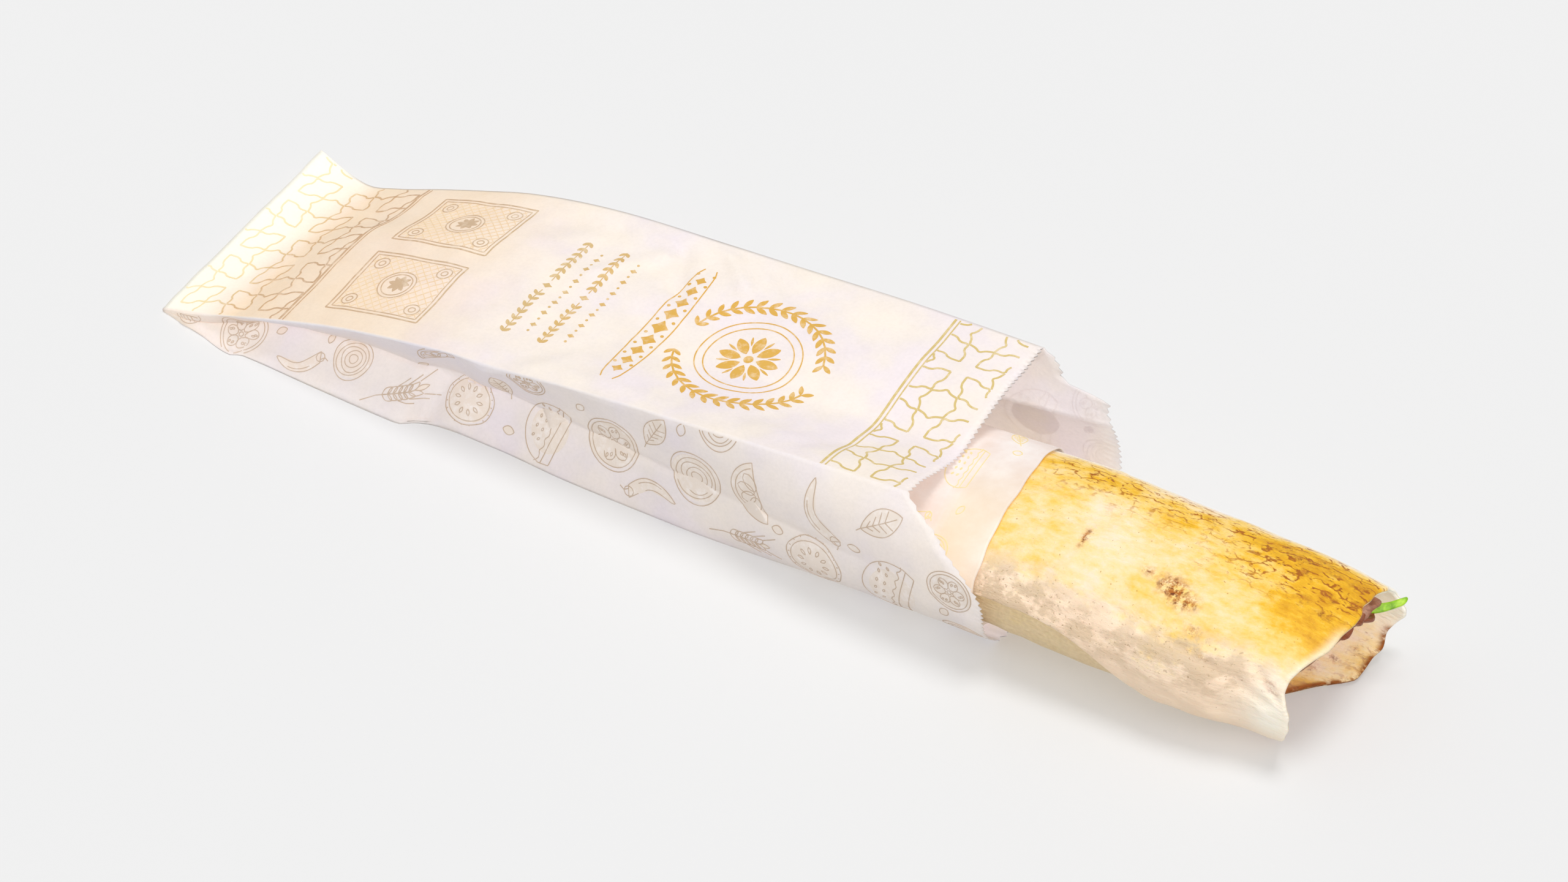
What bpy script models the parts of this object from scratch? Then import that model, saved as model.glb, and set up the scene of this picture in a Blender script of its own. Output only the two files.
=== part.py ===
"""A gyro wrap served in a gusseted paper bag, lying on its side.

The bag is closed and flat at its base and open at its pinked mouth. Out of the mouth comes a pressed
flatbread roll in a greaseproof liner, with meat and a strip of green pepper at its open end.

While the pieces are made, X runs from the bag's base to the roll's open end, Y from the near side to the
far side, and Z up from the surface it lies on. The last step moves the middle of the whole to the origin.
"""

import bmesh
import bpy
import numpy as np

# Bag: a flat sheet-made tube with a folded gusset down each side
BAG_LENGTH = 0.346
LIP_SETBACK = 0.034
PAPER = 0.0007
BAG_HOLLOW_START = 0.034
TOOTH_PITCH = 0.0025
TOOTH_DEPTH = 0.0011
TOOTH_BAND = 0.02

# Roll: an oval wound sheet, flatter than it is wide because it was pressed on a grill
ROLL_START = 0.186
ROLL_END = 0.456
BREAD = 0.0022
LAYER_GAP = 0.0004
LINER = 0.0005
LINER_START = 0.188
LINER_END = 0.3385
CLEAR = 0.0008

# Filling
MEAT_START = 0.193
MEAT_END = 0.4495
PEPPER_START = np.array((0.4510, 0.0035, 0.0190))
PEPPER_TIP = np.array((0.4632, 0.0147, 0.0262))
PEPPER_WIDTH = 0.0036
PEPPER_THICKNESS = 0.0018


def along(x, stations, values):
    """Smooth curve through the given points: cubic pieces that share slopes and don't overshoot."""
    stations = np.asarray(stations)
    values = np.asarray(values)
    slopes = np.diff(values) / np.diff(stations)
    turning = slopes[:-1] * slopes[1:] <= 0
    inner = np.where(turning, 0, (slopes[:-1] + slopes[1:]) / 2)
    tangents = np.concatenate([slopes[:1], inner, slopes[-1:]])
    i = np.clip(np.searchsorted(stations, x) - 1, 0, len(stations) - 2)
    step = stations[i + 1] - stations[i]
    t = np.clip((x - stations[i]) / step, 0, 1)
    start = (2 * t**3 - 3 * t**2 + 1) * values[i] + (t**3 - 2 * t**2 + t) * step * tangents[i]
    end = (3 * t**2 - 2 * t**3) * values[i + 1] + (t**3 - t**2) * step * tangents[i + 1]
    return start + end


def ease(t):
    """Smooth step from 0 to 1."""
    t = np.clip(t, 0, 1)
    return t * t * (3 - 2 * t)


# ---------------------------------------------------------------- paper bag

# Distances along the bag, and what the folds do there
NEAR_STATIONS = (0, 0.020, 0.0365, 0.040, 0.075, 0.110, 0.116, 0.122, 0.147, 0.177, 0.223, 0.284, 0.346)
NEAR_FOOT_Y = (-0.0475, -0.0518, -0.0555, -0.0536, -0.0550, -0.0560, -0.0524, -0.0503, -0.0495, -0.0512,
               -0.0515, -0.0480, -0.0450)
NEAR_RIDGE_Z = ((0, 0.024, 0.056, 0.080, 0.101, 0.126, 0.150, 0.177, 0.222, 0.263, 0.312, 0.346),
                (0.0012, 0.0085, 0.0190, 0.0258, 0.0302, 0.0342, 0.0365, 0.0400, 0.0446, 0.0483, 0.0520,
                 0.0530))
FAR_RIDGE_Z = ((0, 0.012, 0.024, 0.037, 0.060, 0.080, 0.101, 0.136, 0.189, 0.218, 0.263, 0.312, 0.346),
               (0.0100, 0.0064, 0.0048, 0.0085, 0.0172, 0.0240, 0.0305, 0.0370, 0.0405, 0.0420, 0.0445,
                0.0456, 0.0460))
FAR_FOOT_Z = ((0, 0.012, 0.024, 0.034, 0.346), (0.0088, 0.0050, 0.0016, 0, 0))
FAR_SIDE_Y = ((0, 0.024, 0.110, 0.346), (0.0520, 0.0485, 0.0480, 0.0480))
NEAR_TUCK = ((0, 0.010, 0.045, 0.080, 0.120, 0.180, 0.230, 0.278, 0.312, 0.346),
             (0, 0, 0.0130, 0.0150, 0.0130, 0.0075, 0.0010, -0.0060, -0.0108, -0.0142))
FAR_TUCK = ((0, 0.010, 0.045, 0.100, 0.180, 0.240, 0.300, 0.346),
            (0, 0, 0.0140, 0.0160, 0.0140, 0.0115, 0.0090, 0.0030))
# Top panel: how far its middle stands over the straight line between the ridges, which way its hump leans
PANEL_HUMP = ((0, 0.030, 0.057, 0.110, 0.180, 0.230, 0.278, 0.312, 0.346),
              (0, 0.0015, 0.0050, 0.0025, -0.0020, -0.0050, -0.0080, -0.0084, -0.0084))

# The cut edge of the mouth, as distance from the base at fractions of a gusset's height
NEAR_CUT = ((0, 0.42, 0.54, 0.62, 0.74, 0.80, 0.88, 0.94, 1),
            (0.3460, 0.3470, 0.3465, 0.3440, 0.3360, 0.3310, 0.3250, 0.3180, BAG_LENGTH - LIP_SETBACK))
FAR_CUT = ((0, 0.50, 0.60, 0.70, 0.75, 0.86, 0.95, 1),
           (0.3450, 0.3415, 0.3390, 0.3365, 0.3240, 0.3195, 0.3160, BAG_LENGTH - LIP_SETBACK))

# Cells round the bag: bottom, far gusset (lower, upper), top panel, near gusset (upper, lower)
BAG_CELLS = (4, 3, 5, 14, 6, 5)
BAG_STATIONS = 24
BAG_UPRIGHT_TO = 0.285
BAG_UPRIGHT_SHARE = 0.78


def bag_folds(x):
    """The six fold lines at distance x, as (y, z) arrays: near foot, far foot, far crease, far ridge,
    near ridge, near crease. A gusset's crease is tucked in, or pushed out where the roll fills it."""
    near_foot = (along(x, NEAR_STATIONS, NEAR_FOOT_Y), 0 * x)
    near_ridge = (along(x, (0, 0.03, 0.346), (-0.0475, -0.0485, -0.0475)), along(x, *NEAR_RIDGE_Z))
    far_y = along(x, *FAR_SIDE_Y)
    far_foot = (far_y, along(x, *FAR_FOOT_Z))
    far_ridge = (far_y, along(x, *FAR_RIDGE_Z))
    far_crease = (far_y - along(x, *FAR_TUCK), far_foot[1] + 0.55 * (far_ridge[1] - far_foot[1]))
    near_middle = (near_foot[0] + near_ridge[0]) / 2
    near_crease = (near_middle + along(x, *NEAR_TUCK), 0.47 * near_ridge[1])
    return near_foot, far_foot, far_crease, far_ridge, near_ridge, near_crease


def inward(folds, wall):
    """The fold lines moved inwards by the wall, each along the mitre of the two panels that meet there."""
    count = len(folds)
    y = np.array([f[0] for f in folds])
    z = np.array([f[1] for f in folds])
    moved = []
    for i in range(count):
        before = ((i - 1) % count, i)
        after = (i, (i + 1) % count)
        normals = []
        for a, b in (before, after):
            length = np.hypot(y[b] - y[a], z[b] - z[a])
            normals.append((-(z[b] - z[a]) / length, (y[b] - y[a]) / length))
        (ay, az), (by, bz) = normals
        spread = np.maximum(1 + ay * by + az * bz, 0.02)
        moved.append((y[i] + wall * (ay + by) / spread, z[i] + wall * (az + bz) / spread))
    return moved


def bag_loop(cells):
    """For each point round the bag: its panel, and the fraction of the way along that panel."""
    panel = np.repeat(np.arange(6), cells)
    fraction = np.concatenate([np.arange(n) / n for n in cells])
    return panel, fraction


def panel_hump(x, v):
    """Height of the top panel over the straight line between its ridges; v runs from near (0) to far (1).
    Towards the mouth it sags onto the roll, lowest at two fifths of the way from the near ridge."""
    hump = along(x, *PANEL_HUMP)
    sag = along(v, (0, 0.10, 0.22, 0.38, 0.55, 0.72, 0.86, 1), (0, 0.17, 0.62, 1, 0.58, 0.24, 0.20, 0))
    bulge = along(v, (0, 0.25, 0.55, 0.80, 1), (0, 0.45, 1, 0.15, 0))
    return hump * np.where(hump < 0, sag, bulge)


def side_bow(x, v, far):
    """How far a gusset half bows out of its flat shape, so that the filled near side is round."""
    fullness = 0.25 * ease((x - 0.10) / 0.2) if far else ease((x - 0.20) / 0.1)
    return 0.0045 * fullness * np.sin(np.pi * v)


def mouth_edge(panel, v):
    """Distance from the base to the cut edge, for each point round the bag."""
    lip = BAG_LENGTH - LIP_SETBACK
    cuts = (
        along(v, (0, 0.06, 1), (0.3460, 0.3475, 0.3450)),
        along(v / 2, *FAR_CUT),
        along(0.5 + v / 2, *FAR_CUT),
        np.full_like(v, lip),
        along(1 - v / 2, *NEAR_CUT),
        along(0.5 - v / 2, *NEAR_CUT),
    )
    return np.choose(panel, cuts)


def bag_surface(share, panel, v, wall=0.0, start=0.0):
    """Points of the bag's wall: share is 0 where the wall starts and 1 at the cut edge. Each cross section
    is the loop of six folds, with the top panel humped or sagging and the gussets bowed. The sections are
    upright for most of the bag, and near the mouth they stretch to follow its slanting cut."""
    first = start + share / BAG_UPRIGHT_SHARE * (BAG_UPRIGHT_TO - start)
    last = (share - BAG_UPRIGHT_SHARE) / (1 - BAG_UPRIGHT_SHARE) * (mouth_edge(panel, v) - BAG_UPRIGHT_TO)
    x = np.where(share < BAG_UPRIGHT_SHARE, first, BAG_UPRIGHT_TO + last)
    folds = bag_folds(x)
    if wall:
        folds = inward(folds, wall)
    y = np.choose(panel, [f[0] for f in folds]) * (1 - v) + v * np.choose((panel + 1) % 6, [f[0] for f in folds])
    z = np.choose(panel, [f[1] for f in folds]) * (1 - v) + v * np.choose((panel + 1) % 6, [f[1] for f in folds])
    z = z + np.where(panel == 3, panel_hump(x, 1 - v), 0)
    bow = np.where(panel >= 4, -side_bow(x, v, False), np.where(panel == 3, 0, side_bow(x, v, True)))
    y = y + np.where(panel == 0, 0, bow)
    return np.stack([x, y, z], axis=-1)


def toothed_row(row, nxt, pitch, depth):
    """Cut edge between two rim points: a zigzag of whole teeth, as fractions along it and pull-backs."""
    teeth = max(1, round(np.linalg.norm(nxt - row) / pitch))
    steps = np.arange(1, 2 * teeth) / (2 * teeth)
    pull = np.where(np.arange(1, 2 * teeth) % 2 == 1, depth, 0)
    return steps, pull


def bag_shell(mesh, start, wall, outside):
    """Adds one skin of the bag, and returns its rim of teeth. Rows of vertices run round the bag; the last
    row before the edge is joined by fans to the many points of the toothed edge."""
    panel, v = bag_loop(BAG_CELLS)
    count = len(panel)
    shares = np.linspace(0, 1 - TOOTH_BAND, BAG_STATIONS)[:, None]
    grid = bag_surface(shares, panel[None], v[None], wall, start)
    rows = [[mesh.verts.new(p) for p in row] for row in grid]
    edge = bag_surface(np.ones(count), panel, v, wall, start)
    for low, high in zip(rows[:-1], rows[1:]):
        for j in range(count):
            k = (j + 1) % count
            mesh.faces.new((low[j], low[k], high[k], high[j]))
    inner = rows[-1]
    rim_points = [mesh.verts.new(p) for p in edge]
    outer_edge = bag_surface(np.ones(count), panel, v)
    rim = []
    for j in range(count):
        k = (j + 1) % count
        steps, pull = toothed_row(outer_edge[j], outer_edge[k], TOOTH_PITCH, TOOTH_DEPTH)
        between = edge[j] + steps[:, None] * (edge[k] - edge[j])
        between[:, 0] -= pull
        fine = [rim_points[j], *(mesh.verts.new(p) for p in between), rim_points[k]]
        middle = len(fine) // 2
        for a, b in zip(fine[:middle], fine[1:middle + 1]):
            mesh.faces.new((inner[j], b, a))
        for a, b in zip(fine[middle:-1], fine[middle + 1:]):
            mesh.faces.new((inner[k], b, a))
        mesh.faces.new((inner[j], inner[k], fine[middle]))
        rim += fine[:-1]
    if outside:
        mesh.faces.new(rows[0])
    else:
        mesh.faces.new(rows[0][::-1])
    return rim


def paper_bag():
    """Outer and inner skin, joined round the mouth. The base, where the sheets are pasted, is solid."""
    mesh = bmesh.new()
    outer = bag_shell(mesh, 0.0, 0.0, True)
    inner = bag_shell(mesh, BAG_HOLLOW_START, PAPER, False)
    for j in range(len(outer)):
        k = (j + 1) % len(outer)
        mesh.faces.new((outer[j], outer[k], inner[k], inner[j]))
    return finished("paper_bag", mesh, paint("bag_paper", (0.90, 0.85, 0.80), 0.75))


# ---------------------------------------------------------------- roll

ROLL_FAR_HALF = ((0.186, 0.230, 0.278, 0.312, 0.341, 0.385, 0.430, 0.464),
                 (0.0270, 0.0310, 0.0350, 0.0370, 0.0383, 0.0382, 0.0375, 0.0350))
ROLL_NEAR_HALF = ((0.186, 0.230, 0.278, 0.312, 0.341, 0.385, 0.424, 0.437, 0.447, 0.464),
                  (0.0270, 0.0310, 0.0350, 0.0370, 0.0383, 0.0382, 0.0376, 0.0348, 0.0350, 0.0345))
ROLL_HALF_HEIGHT = ((0.186, 0.230, 0.278, 0.312, 0.341, 0.385, 0.430, 0.464),
                    (0.0140, 0.0156, 0.0171, 0.0180, 0.0198, 0.0212, 0.0206, 0.0176))
ROLL_CENTRE_Y = ((0.186, 0.230, 0.278, 0.312, 0.341, 0.385, 0.430, 0.464),
                 (-0.0040, -0.0080, -0.0130, -0.0165, -0.0182, -0.0180, -0.0170, -0.0145))
ROLL_BOTTOM_Z = ((0.186, 0.346, 0.384, 0.412, 0.464), (0.0024, 0.0024, -0.00019, -0.00069, -0.00129))
SQUARENESS = 2.4

# Where the sheet starts and ends, as angles round the roll: 0 is far, 90 top, 180 near, 270 bottom
SEAM_ANGLE = ((0.186, 0.352, 0.378, 0.408, 0.436, 0.464), (165, 165, 173, 213, 226, 238))
SHOULDER = 125
TUCKED_END = -300

# Distance from the base to the roll's open end, for angles counted down the sheet from its seam
END_CUT = ((-300, -200, -165, -110, -100, -90, -80, -70, -50, -30, -20, -8, 0, 12, 25, 40, 60, 90, 110, 125,
            140, 150, 165, 185, 205, 240),
           (0.4470, 0.4390, 0.4345, 0.4350, 0.4380, 0.4430, 0.4490, 0.4550, 0.4575, 0.4580, 0.4595, 0.4618,
            0.4620, 0.4598, 0.4578, 0.4563, 0.4558, 0.4555, 0.4540, 0.4505, 0.4478, 0.4480, 0.4500, 0.4508,
            0.4500, 0.4450))
SHEET_UPRIGHT_TO = 0.425
SHEET_UPRIGHT_SHARE = 0.6
FRONT_CELLS = 8
SHEET_CELLS = 50
SHEET_STATIONS = 16


def turn_to_near(angle):
    """Angle measured from the near side, between -180 and 180."""
    return angle % 360 - 180


def oval(x, angle, depth):
    """Point of the roll at an angle in degrees, a depth under its outer surface: a squarish ellipse,
    |y/a|^n + |z/b|^n = 1, whose half width a and half height b change along the roll."""
    turn = np.radians(angle)
    a = np.where(np.abs(turn_to_near(angle)) < 90, along(x, *ROLL_NEAR_HALF), along(x, *ROLL_FAR_HALF)) - depth
    b = along(x, *ROLL_HALF_HEIGHT) - depth
    bottom = along(x, *ROLL_BOTTOM_Z) + depth
    cos, sin = np.cos(turn), np.sin(turn)
    size = (np.abs(cos) ** SQUARENESS + np.abs(sin) ** SQUARENESS) ** (-1 / SQUARENESS)
    y = along(x, *ROLL_CENTRE_Y) + a * cos * size
    return np.stack([x + 0 * y, y, bottom + b + b * sin * size], axis=-1)


def sheet_depth(x, angle):
    """Depth of the sheet's outer face: 0 on the outside, one layer more where it has passed the seam."""
    seam = along(x, *SEAM_ANGLE) - 360
    return (BREAD + LAYER_GAP) * ease((seam + 110 - angle) / 100)


def sheet_angle(x, way):
    """Angle at a way along the sheet, from its seam (0) to its tucked end (1). Only the stretch before the
    shoulder gives where the seam wanders."""
    seam = along(x, *SEAM_ANGLE)
    front = FRONT_CELLS / SHEET_CELLS
    before = seam + way / front * (SHOULDER - seam)
    after = SHOULDER + (way - front) / (1 - front) * (TUCKED_END - SHOULDER)
    return np.where(way < front, before, after)


def bread_sheet(way, share, depth):
    """Point of the wound sheet: way runs from the seam (0) to the tucked end (1), share along the roll."""
    upright = ROLL_START + share / SHEET_UPRIGHT_SHARE * (SHEET_UPRIGHT_TO - ROLL_START)
    end = np.full_like(upright, ROLL_END)
    for _ in range(4):
        stretched = (share - SHEET_UPRIGHT_SHARE) / (1 - SHEET_UPRIGHT_SHARE) * (end - SHEET_UPRIGHT_TO)
        x = np.where(share < SHEET_UPRIGHT_SHARE, upright, SHEET_UPRIGHT_TO + stretched)
        end = along(sheet_angle(x, way), *END_CUT)
    angle = sheet_angle(x, way)
    return oval(x, angle, sheet_depth(x, angle) + depth)


def flatbread():
    """The wound sheet with its thickness: a strip outside, its twin one bread thickness further in, and
    the four edges between them."""
    way = np.linspace(0, 1, SHEET_CELLS + 1)[None]
    share = np.linspace(0, 1, SHEET_STATIONS + 1)[:, None]
    way, share = np.broadcast_arrays(way, share)
    outer = bread_sheet(way, share, 0.0)
    inner = bread_sheet(way, share, BREAD)
    loop = np.concatenate([outer, inner[:, ::-1]], axis=1)
    mesh = bmesh.new()
    rows = [[mesh.verts.new(p) for p in row] for row in loop]
    count = loop.shape[1]
    for low, high in zip(rows[:-1], rows[1:]):
        for j in range(count):
            k = (j + 1) % count
            mesh.faces.new((low[j], low[k], high[k], high[j]))
    for row in (rows[0], rows[-1]):
        for j in range(SHEET_CELLS):
            mesh.faces.new((row[j], row[j + 1], row[count - 2 - j], row[count - 1 - j]))
    return finished("flatbread", mesh, paint("grilled_bread", (0.93, 0.74, 0.42), 0.7))


def tube(mesh, rings, closed):
    """Joins rings of points into a skin; closed adds a fan at each end."""
    rows = [[mesh.verts.new(p) for p in ring] for ring in rings]
    count = len(rows[0])
    for low, high in zip(rows[:-1], rows[1:]):
        for j in range(count):
            k = (j + 1) % count
            mesh.faces.new((low[j], low[k], high[k], high[j]))
    if closed:
        for row in (rows[0], rows[-1]):
            middle = mesh.verts.new(sum((vert.co for vert in row), row[0].co * 0) / count)
            for j in range(count):
                mesh.faces.new((middle, row[j], row[(j + 1) % count]))
    return rows


def liner_paper():
    """Greaseproof sleeve round the roll, open at both ends; its edge runs a little aslant."""
    angle = np.arange(0, 360, 7.5)
    edge = LINER_END + 0.0035 * np.cos(np.radians(angle - 190))
    stations = np.linspace(0, 1, 7)[:, None]
    x = LINER_START + stations * (edge - LINER_START)
    mesh = bmesh.new()
    outside = tube(mesh, oval(x, angle, -(CLEAR + LINER)), False)
    inside = tube(mesh, oval(x, angle, -CLEAR), False)
    for i in (0, -1):
        for j in range(len(angle)):
            k = (j + 1) % len(angle)
            mesh.faces.new((outside[i][j], outside[i][k], inside[i][k], inside[i][j]))
    return finished("liner_paper", mesh, paint("liner_paper", (0.93, 0.88, 0.76), 0.6))


def meat_filling():
    """Core of meat that fills the wound sheet: it keeps clear of the outer turn and of the tucked turn."""
    angle = np.arange(-180, 180, 12.0)
    end = MEAT_END - 0.008 * (1 - np.cos(np.radians(angle)))
    share = np.linspace(0, 1, 14)[:, None]
    x = MEAT_START + share * (end - MEAT_START)
    turned_in = ease((angle - 28) / 22) + ease((-120 - angle) / 30) * (angle < -90)
    below = sheet_depth(x, angle)
    lumps = 0.0006 * (1 + np.sin(x * 420 + np.radians(angle * 3))) + 0.0005 * (1 + np.cos(x * 970 - angle))
    depth = below + BREAD + CLEAR + 0.0006 + (BREAD + LAYER_GAP) * np.minimum(turned_in, 1) + lumps
    ends = 0.0040 * ease(np.abs(2 * share - 1) * 6 - 5)
    mesh = bmesh.new()
    tube(mesh, oval(x, angle, depth + ends), True)
    return finished("meat_filling", mesh, paint("roast_meat", (0.42, 0.24, 0.13), 0.55))


def pepper_strip():
    """Short strip of green pepper that lies between the meat and the far wall and looks out of the end."""
    t = np.linspace(0, 1, 7)[:, None]
    corner = np.radians(np.arange(22.5, 382.5, 45))
    across = PEPPER_WIDTH / 2 / np.cos(np.radians(22.5)) * np.cos(corner)
    through = PEPPER_THICKNESS / 2 / np.cos(np.radians(22.5)) * np.sin(corner)
    tilt = np.radians(35)
    way = PEPPER_START + (PEPPER_TIP - PEPPER_START) * t
    x = way[:, :1] + 0 * across
    y = way[:, 1:2] + 0.0006 * np.sin(5 * t) + across * np.cos(tilt) - through * np.sin(tilt)
    z = way[:, 2:] + 0.0006 * np.sin(6 * t) + across * np.sin(tilt) + through * np.cos(tilt)
    mesh = bmesh.new()
    tube(mesh, np.stack([x, y, z], axis=-1), True)
    return finished("pepper_strip", mesh, paint("green_pepper", (0.42, 0.66, 0.10), 0.4))


# ---------------------------------------------------------------- scene


def paint(name, colour, roughness):
    """Plain material with the part's own colour."""
    material = bpy.data.materials.new(name)
    material.use_nodes = True
    shader = material.node_tree.nodes["Principled BSDF"]
    shader.inputs["Base Color"].default_value = (*colour, 1)
    shader.inputs["Roughness"].default_value = roughness
    shader.inputs["Metallic"].default_value = 0
    return material


def finished(name, mesh, material):
    """Turns the faces outwards and links the object."""
    bmesh.ops.recalc_face_normals(mesh, faces=mesh.faces)
    data = bpy.data.meshes.new(name)
    mesh.to_mesh(data)
    mesh.free()
    data.materials.append(material)
    piece = bpy.data.objects.new(name, data)
    bpy.context.scene.collection.objects.link(piece)
    return piece


def centre(pieces):
    """Moves everything so that the middle of the whole's underside is the origin."""
    points = np.array([vert.co for piece in pieces for vert in piece.data.vertices])
    low, high = points.min(axis=0), points.max(axis=0)
    middle = (low + high) / 2
    for piece in pieces:
        for vert in piece.data.vertices:
            vert.co.x -= middle[0]
            vert.co.y -= middle[1]
            vert.co.z -= low[2]


def main():
    for piece in list(bpy.data.objects):
        bpy.data.objects.remove(piece)
    pieces = [paper_bag(), liner_paper(), flatbread(), meat_filling(), pepper_strip()]
    centre(pieces)


main()
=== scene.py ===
# %% [markdown]
# # A gyro wrap in its paper bag
#
# A takeaway gyro is a flatbread rolled round meat and pressed on a grill. It sits in a sleeve of
# greaseproof paper, and the whole goes into a printed paper bag with a gusset down each side.
# The CAD model fixes where everything lies and how large it is. This lesson gives each piece its
# finished surface, so the first step loads that model as a frame and keeps the bag's box, which the bag's points are
# held inside.

# %% Load the fixed frame
import math

import bpy
import numpy as np
from mathutils import Matrix, Vector


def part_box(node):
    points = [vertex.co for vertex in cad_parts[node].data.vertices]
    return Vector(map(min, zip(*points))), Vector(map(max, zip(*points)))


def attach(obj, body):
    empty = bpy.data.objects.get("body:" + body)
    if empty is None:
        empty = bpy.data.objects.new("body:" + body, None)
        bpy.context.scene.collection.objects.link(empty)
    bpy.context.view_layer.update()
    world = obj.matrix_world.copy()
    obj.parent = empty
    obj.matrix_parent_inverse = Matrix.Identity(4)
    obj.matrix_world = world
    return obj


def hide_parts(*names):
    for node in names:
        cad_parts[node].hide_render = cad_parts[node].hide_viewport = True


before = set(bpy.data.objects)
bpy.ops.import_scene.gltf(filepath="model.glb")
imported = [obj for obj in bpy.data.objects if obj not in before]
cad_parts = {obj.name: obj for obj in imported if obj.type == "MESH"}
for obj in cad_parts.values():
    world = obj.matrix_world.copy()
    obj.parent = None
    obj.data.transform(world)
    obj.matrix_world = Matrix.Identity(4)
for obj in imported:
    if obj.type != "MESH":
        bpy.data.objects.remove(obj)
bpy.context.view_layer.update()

BAG_LOW, BAG_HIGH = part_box("paper_bag")
print("nodes:", ", ".join(sorted(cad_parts)))
print("bag from", tuple(round(c, 4) for c in BAG_LOW), "to", tuple(round(c, 4) for c in BAG_HIGH))

# %% [markdown]
# ## Curves through a few measured points
# Folded paper and a hand-rolled wrap have no single formula, but each of their edges is a smooth
# curve. A handful of stations, joined by cubic pieces that never overshoot, says that curve in one
# line, and it can be evaluated for a whole array of points at once.

# %% Smooth curves and steps


def along(x, stations, values):
    """Cubic pieces through the stations. The slope at an inner station is the mean of its neighbours'
    slopes, or zero where the curve turns, so it never overshoots."""
    stations, values = np.asarray(stations), np.asarray(values)
    slopes = np.diff(values) / np.diff(stations)
    inner = np.where(slopes[:-1] * slopes[1:] <= 0, 0, (slopes[:-1] + slopes[1:]) / 2)
    tangents = np.concatenate([slopes[:1], inner, slopes[-1:]])
    i = np.clip(np.searchsorted(stations, x) - 1, 0, len(stations) - 2)
    step = stations[i + 1] - stations[i]
    t = np.clip((x - stations[i]) / step, 0, 1)
    start = (2 * t**3 - 3 * t**2 + 1) * values[i] + (t**3 - 2 * t**2 + t) * step * tangents[i]
    end = (3 * t**2 - 2 * t**3) * values[i + 1] + (t**3 - t**2) * step * tangents[i + 1]
    return start + end


def ease(t):
    """Smooth step: 3t^2 - 2t^3 between 0 and 1."""
    t = np.clip(t, 0, 1)
    return t * t * (3 - 2 * t)


def bump(t):
    """Bell of height 1 and width about 1 round zero: exp(-t^2)."""
    return np.exp(-np.square(t))


# %% [markdown]
# ## Soft irregularity
# Nothing made of paper or dough is quite smooth. Seeded value noise gives the same soft hills on
# every run: random heights on a coarse grid, blended smoothly between the corners round each point.

# %% Seeded value noise


def cloud(points, size, seed):
    """Heights from -1 to 1: random values at the corners of cubes of this size, blended by smooth
    steps along each axis. points is an array of shape (..., 3)."""
    corners = np.random.default_rng(seed).uniform(-1, 1, (32, 32, 32))
    scaled = np.asarray(points) / size
    cell = np.floor(scaled).astype(int)
    blend = ease(scaled - cell)
    total = 0
    for corner in np.ndindex(2, 2, 2):
        weight = np.prod(np.where(corner, blend, 1 - blend), axis=-1)
        i, j, k = np.moveaxis((cell + corner) % 32, -1, 0)
        total = total + weight * corners[i, j, k]
    return total


def layered(points, size, seed, layers=3, sharp=False):
    """Sum of clouds, each half the size and half the height of the one before. Where sharp, each is
    folded, 1 - 2|h|, which turns its level lines into the creases of crumpled paper."""
    total, height = 0, 1
    for layer in range(layers):
        h = cloud(points, size / 2**layer, seed + layer)
        total = total + height * (1 - 2 * np.abs(h) if sharp else h)
        height = height / 2
    return total / (2 - 2 * height)


sample = np.stack([np.linspace(0, 1, 500)] * 3, axis=-1)
print("cloud spread", round(float(np.std(cloud(sample, 0.03, 1))), 3))

# %% [markdown]
# ## From arrays to a mesh
# Each surface is a grid of points with rows one way and columns the other, so its faces follow from
# the grid's size alone. Strips of a fold or a stroke of ink are grids too, closed round their width
# and capped at their ends. Building whole arrays keeps Python out of the work on single vertices.

# %% Grids of points into meshes


def grid_faces(rows, columns, wrap=False, first=0):
    """Quads of a grid: each joins a point, the next round, and the two above them."""
    around = columns if wrap else columns - 1
    i, j = np.meshgrid(np.arange(rows - 1), np.arange(around), indexing="ij")
    k = (j + 1) % columns
    quads = np.stack([i * columns + j, i * columns + k, (i + 1) * columns + k, (i + 1) * columns + j], axis=-1)
    return quads.reshape(-1, 4) + first


def make_piece(name, points, faces, material, smooth=True, layers=None):
    """Writes points and faces into a new object at the origin, with named per-point layers."""
    mesh = bpy.data.meshes.new(name)
    mesh.from_pydata(np.asarray(points).reshape(-1, 3).tolist(), [], [np.asarray(f).tolist() for f in faces])
    mesh.polygons.foreach_set("use_smooth", np.full(len(mesh.polygons), smooth))
    for title, values in (layers or {}).items():
        layer = mesh.attributes.new(title, "FLOAT", "POINT")
        layer.data.foreach_set("value", np.ravel(values).astype(np.float32))
    mesh.materials.append(material)
    mesh.validate()
    piece = bpy.data.objects.new(name, mesh)
    bpy.context.scene.collection.objects.link(piece)
    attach(piece, "root")
    print(f"{name}: {len(mesh.polygons)} faces")
    return piece

# %% [markdown]
# ## Colours and nodes
# Colours are written as the sRGB hex values that a designer would read off a swatch, and turned to
# linear light once. One small function adds a node with its settings and its links, so that a whole
# finish reads as a short recipe.

# %% Colour and node helpers


def linear(code):
    """sRGB hex to linear light: c/12.92 below 0.04045, otherwise ((c + 0.055)/1.055)^2.4."""
    c = np.array([int(code[i:i + 2], 16) for i in (1, 3, 5)]) / 255
    return (*np.where(c <= 0.04045, c / 12.92, ((c + 0.055) / 1.055) ** 2.4).tolist(), 1.0)


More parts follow.
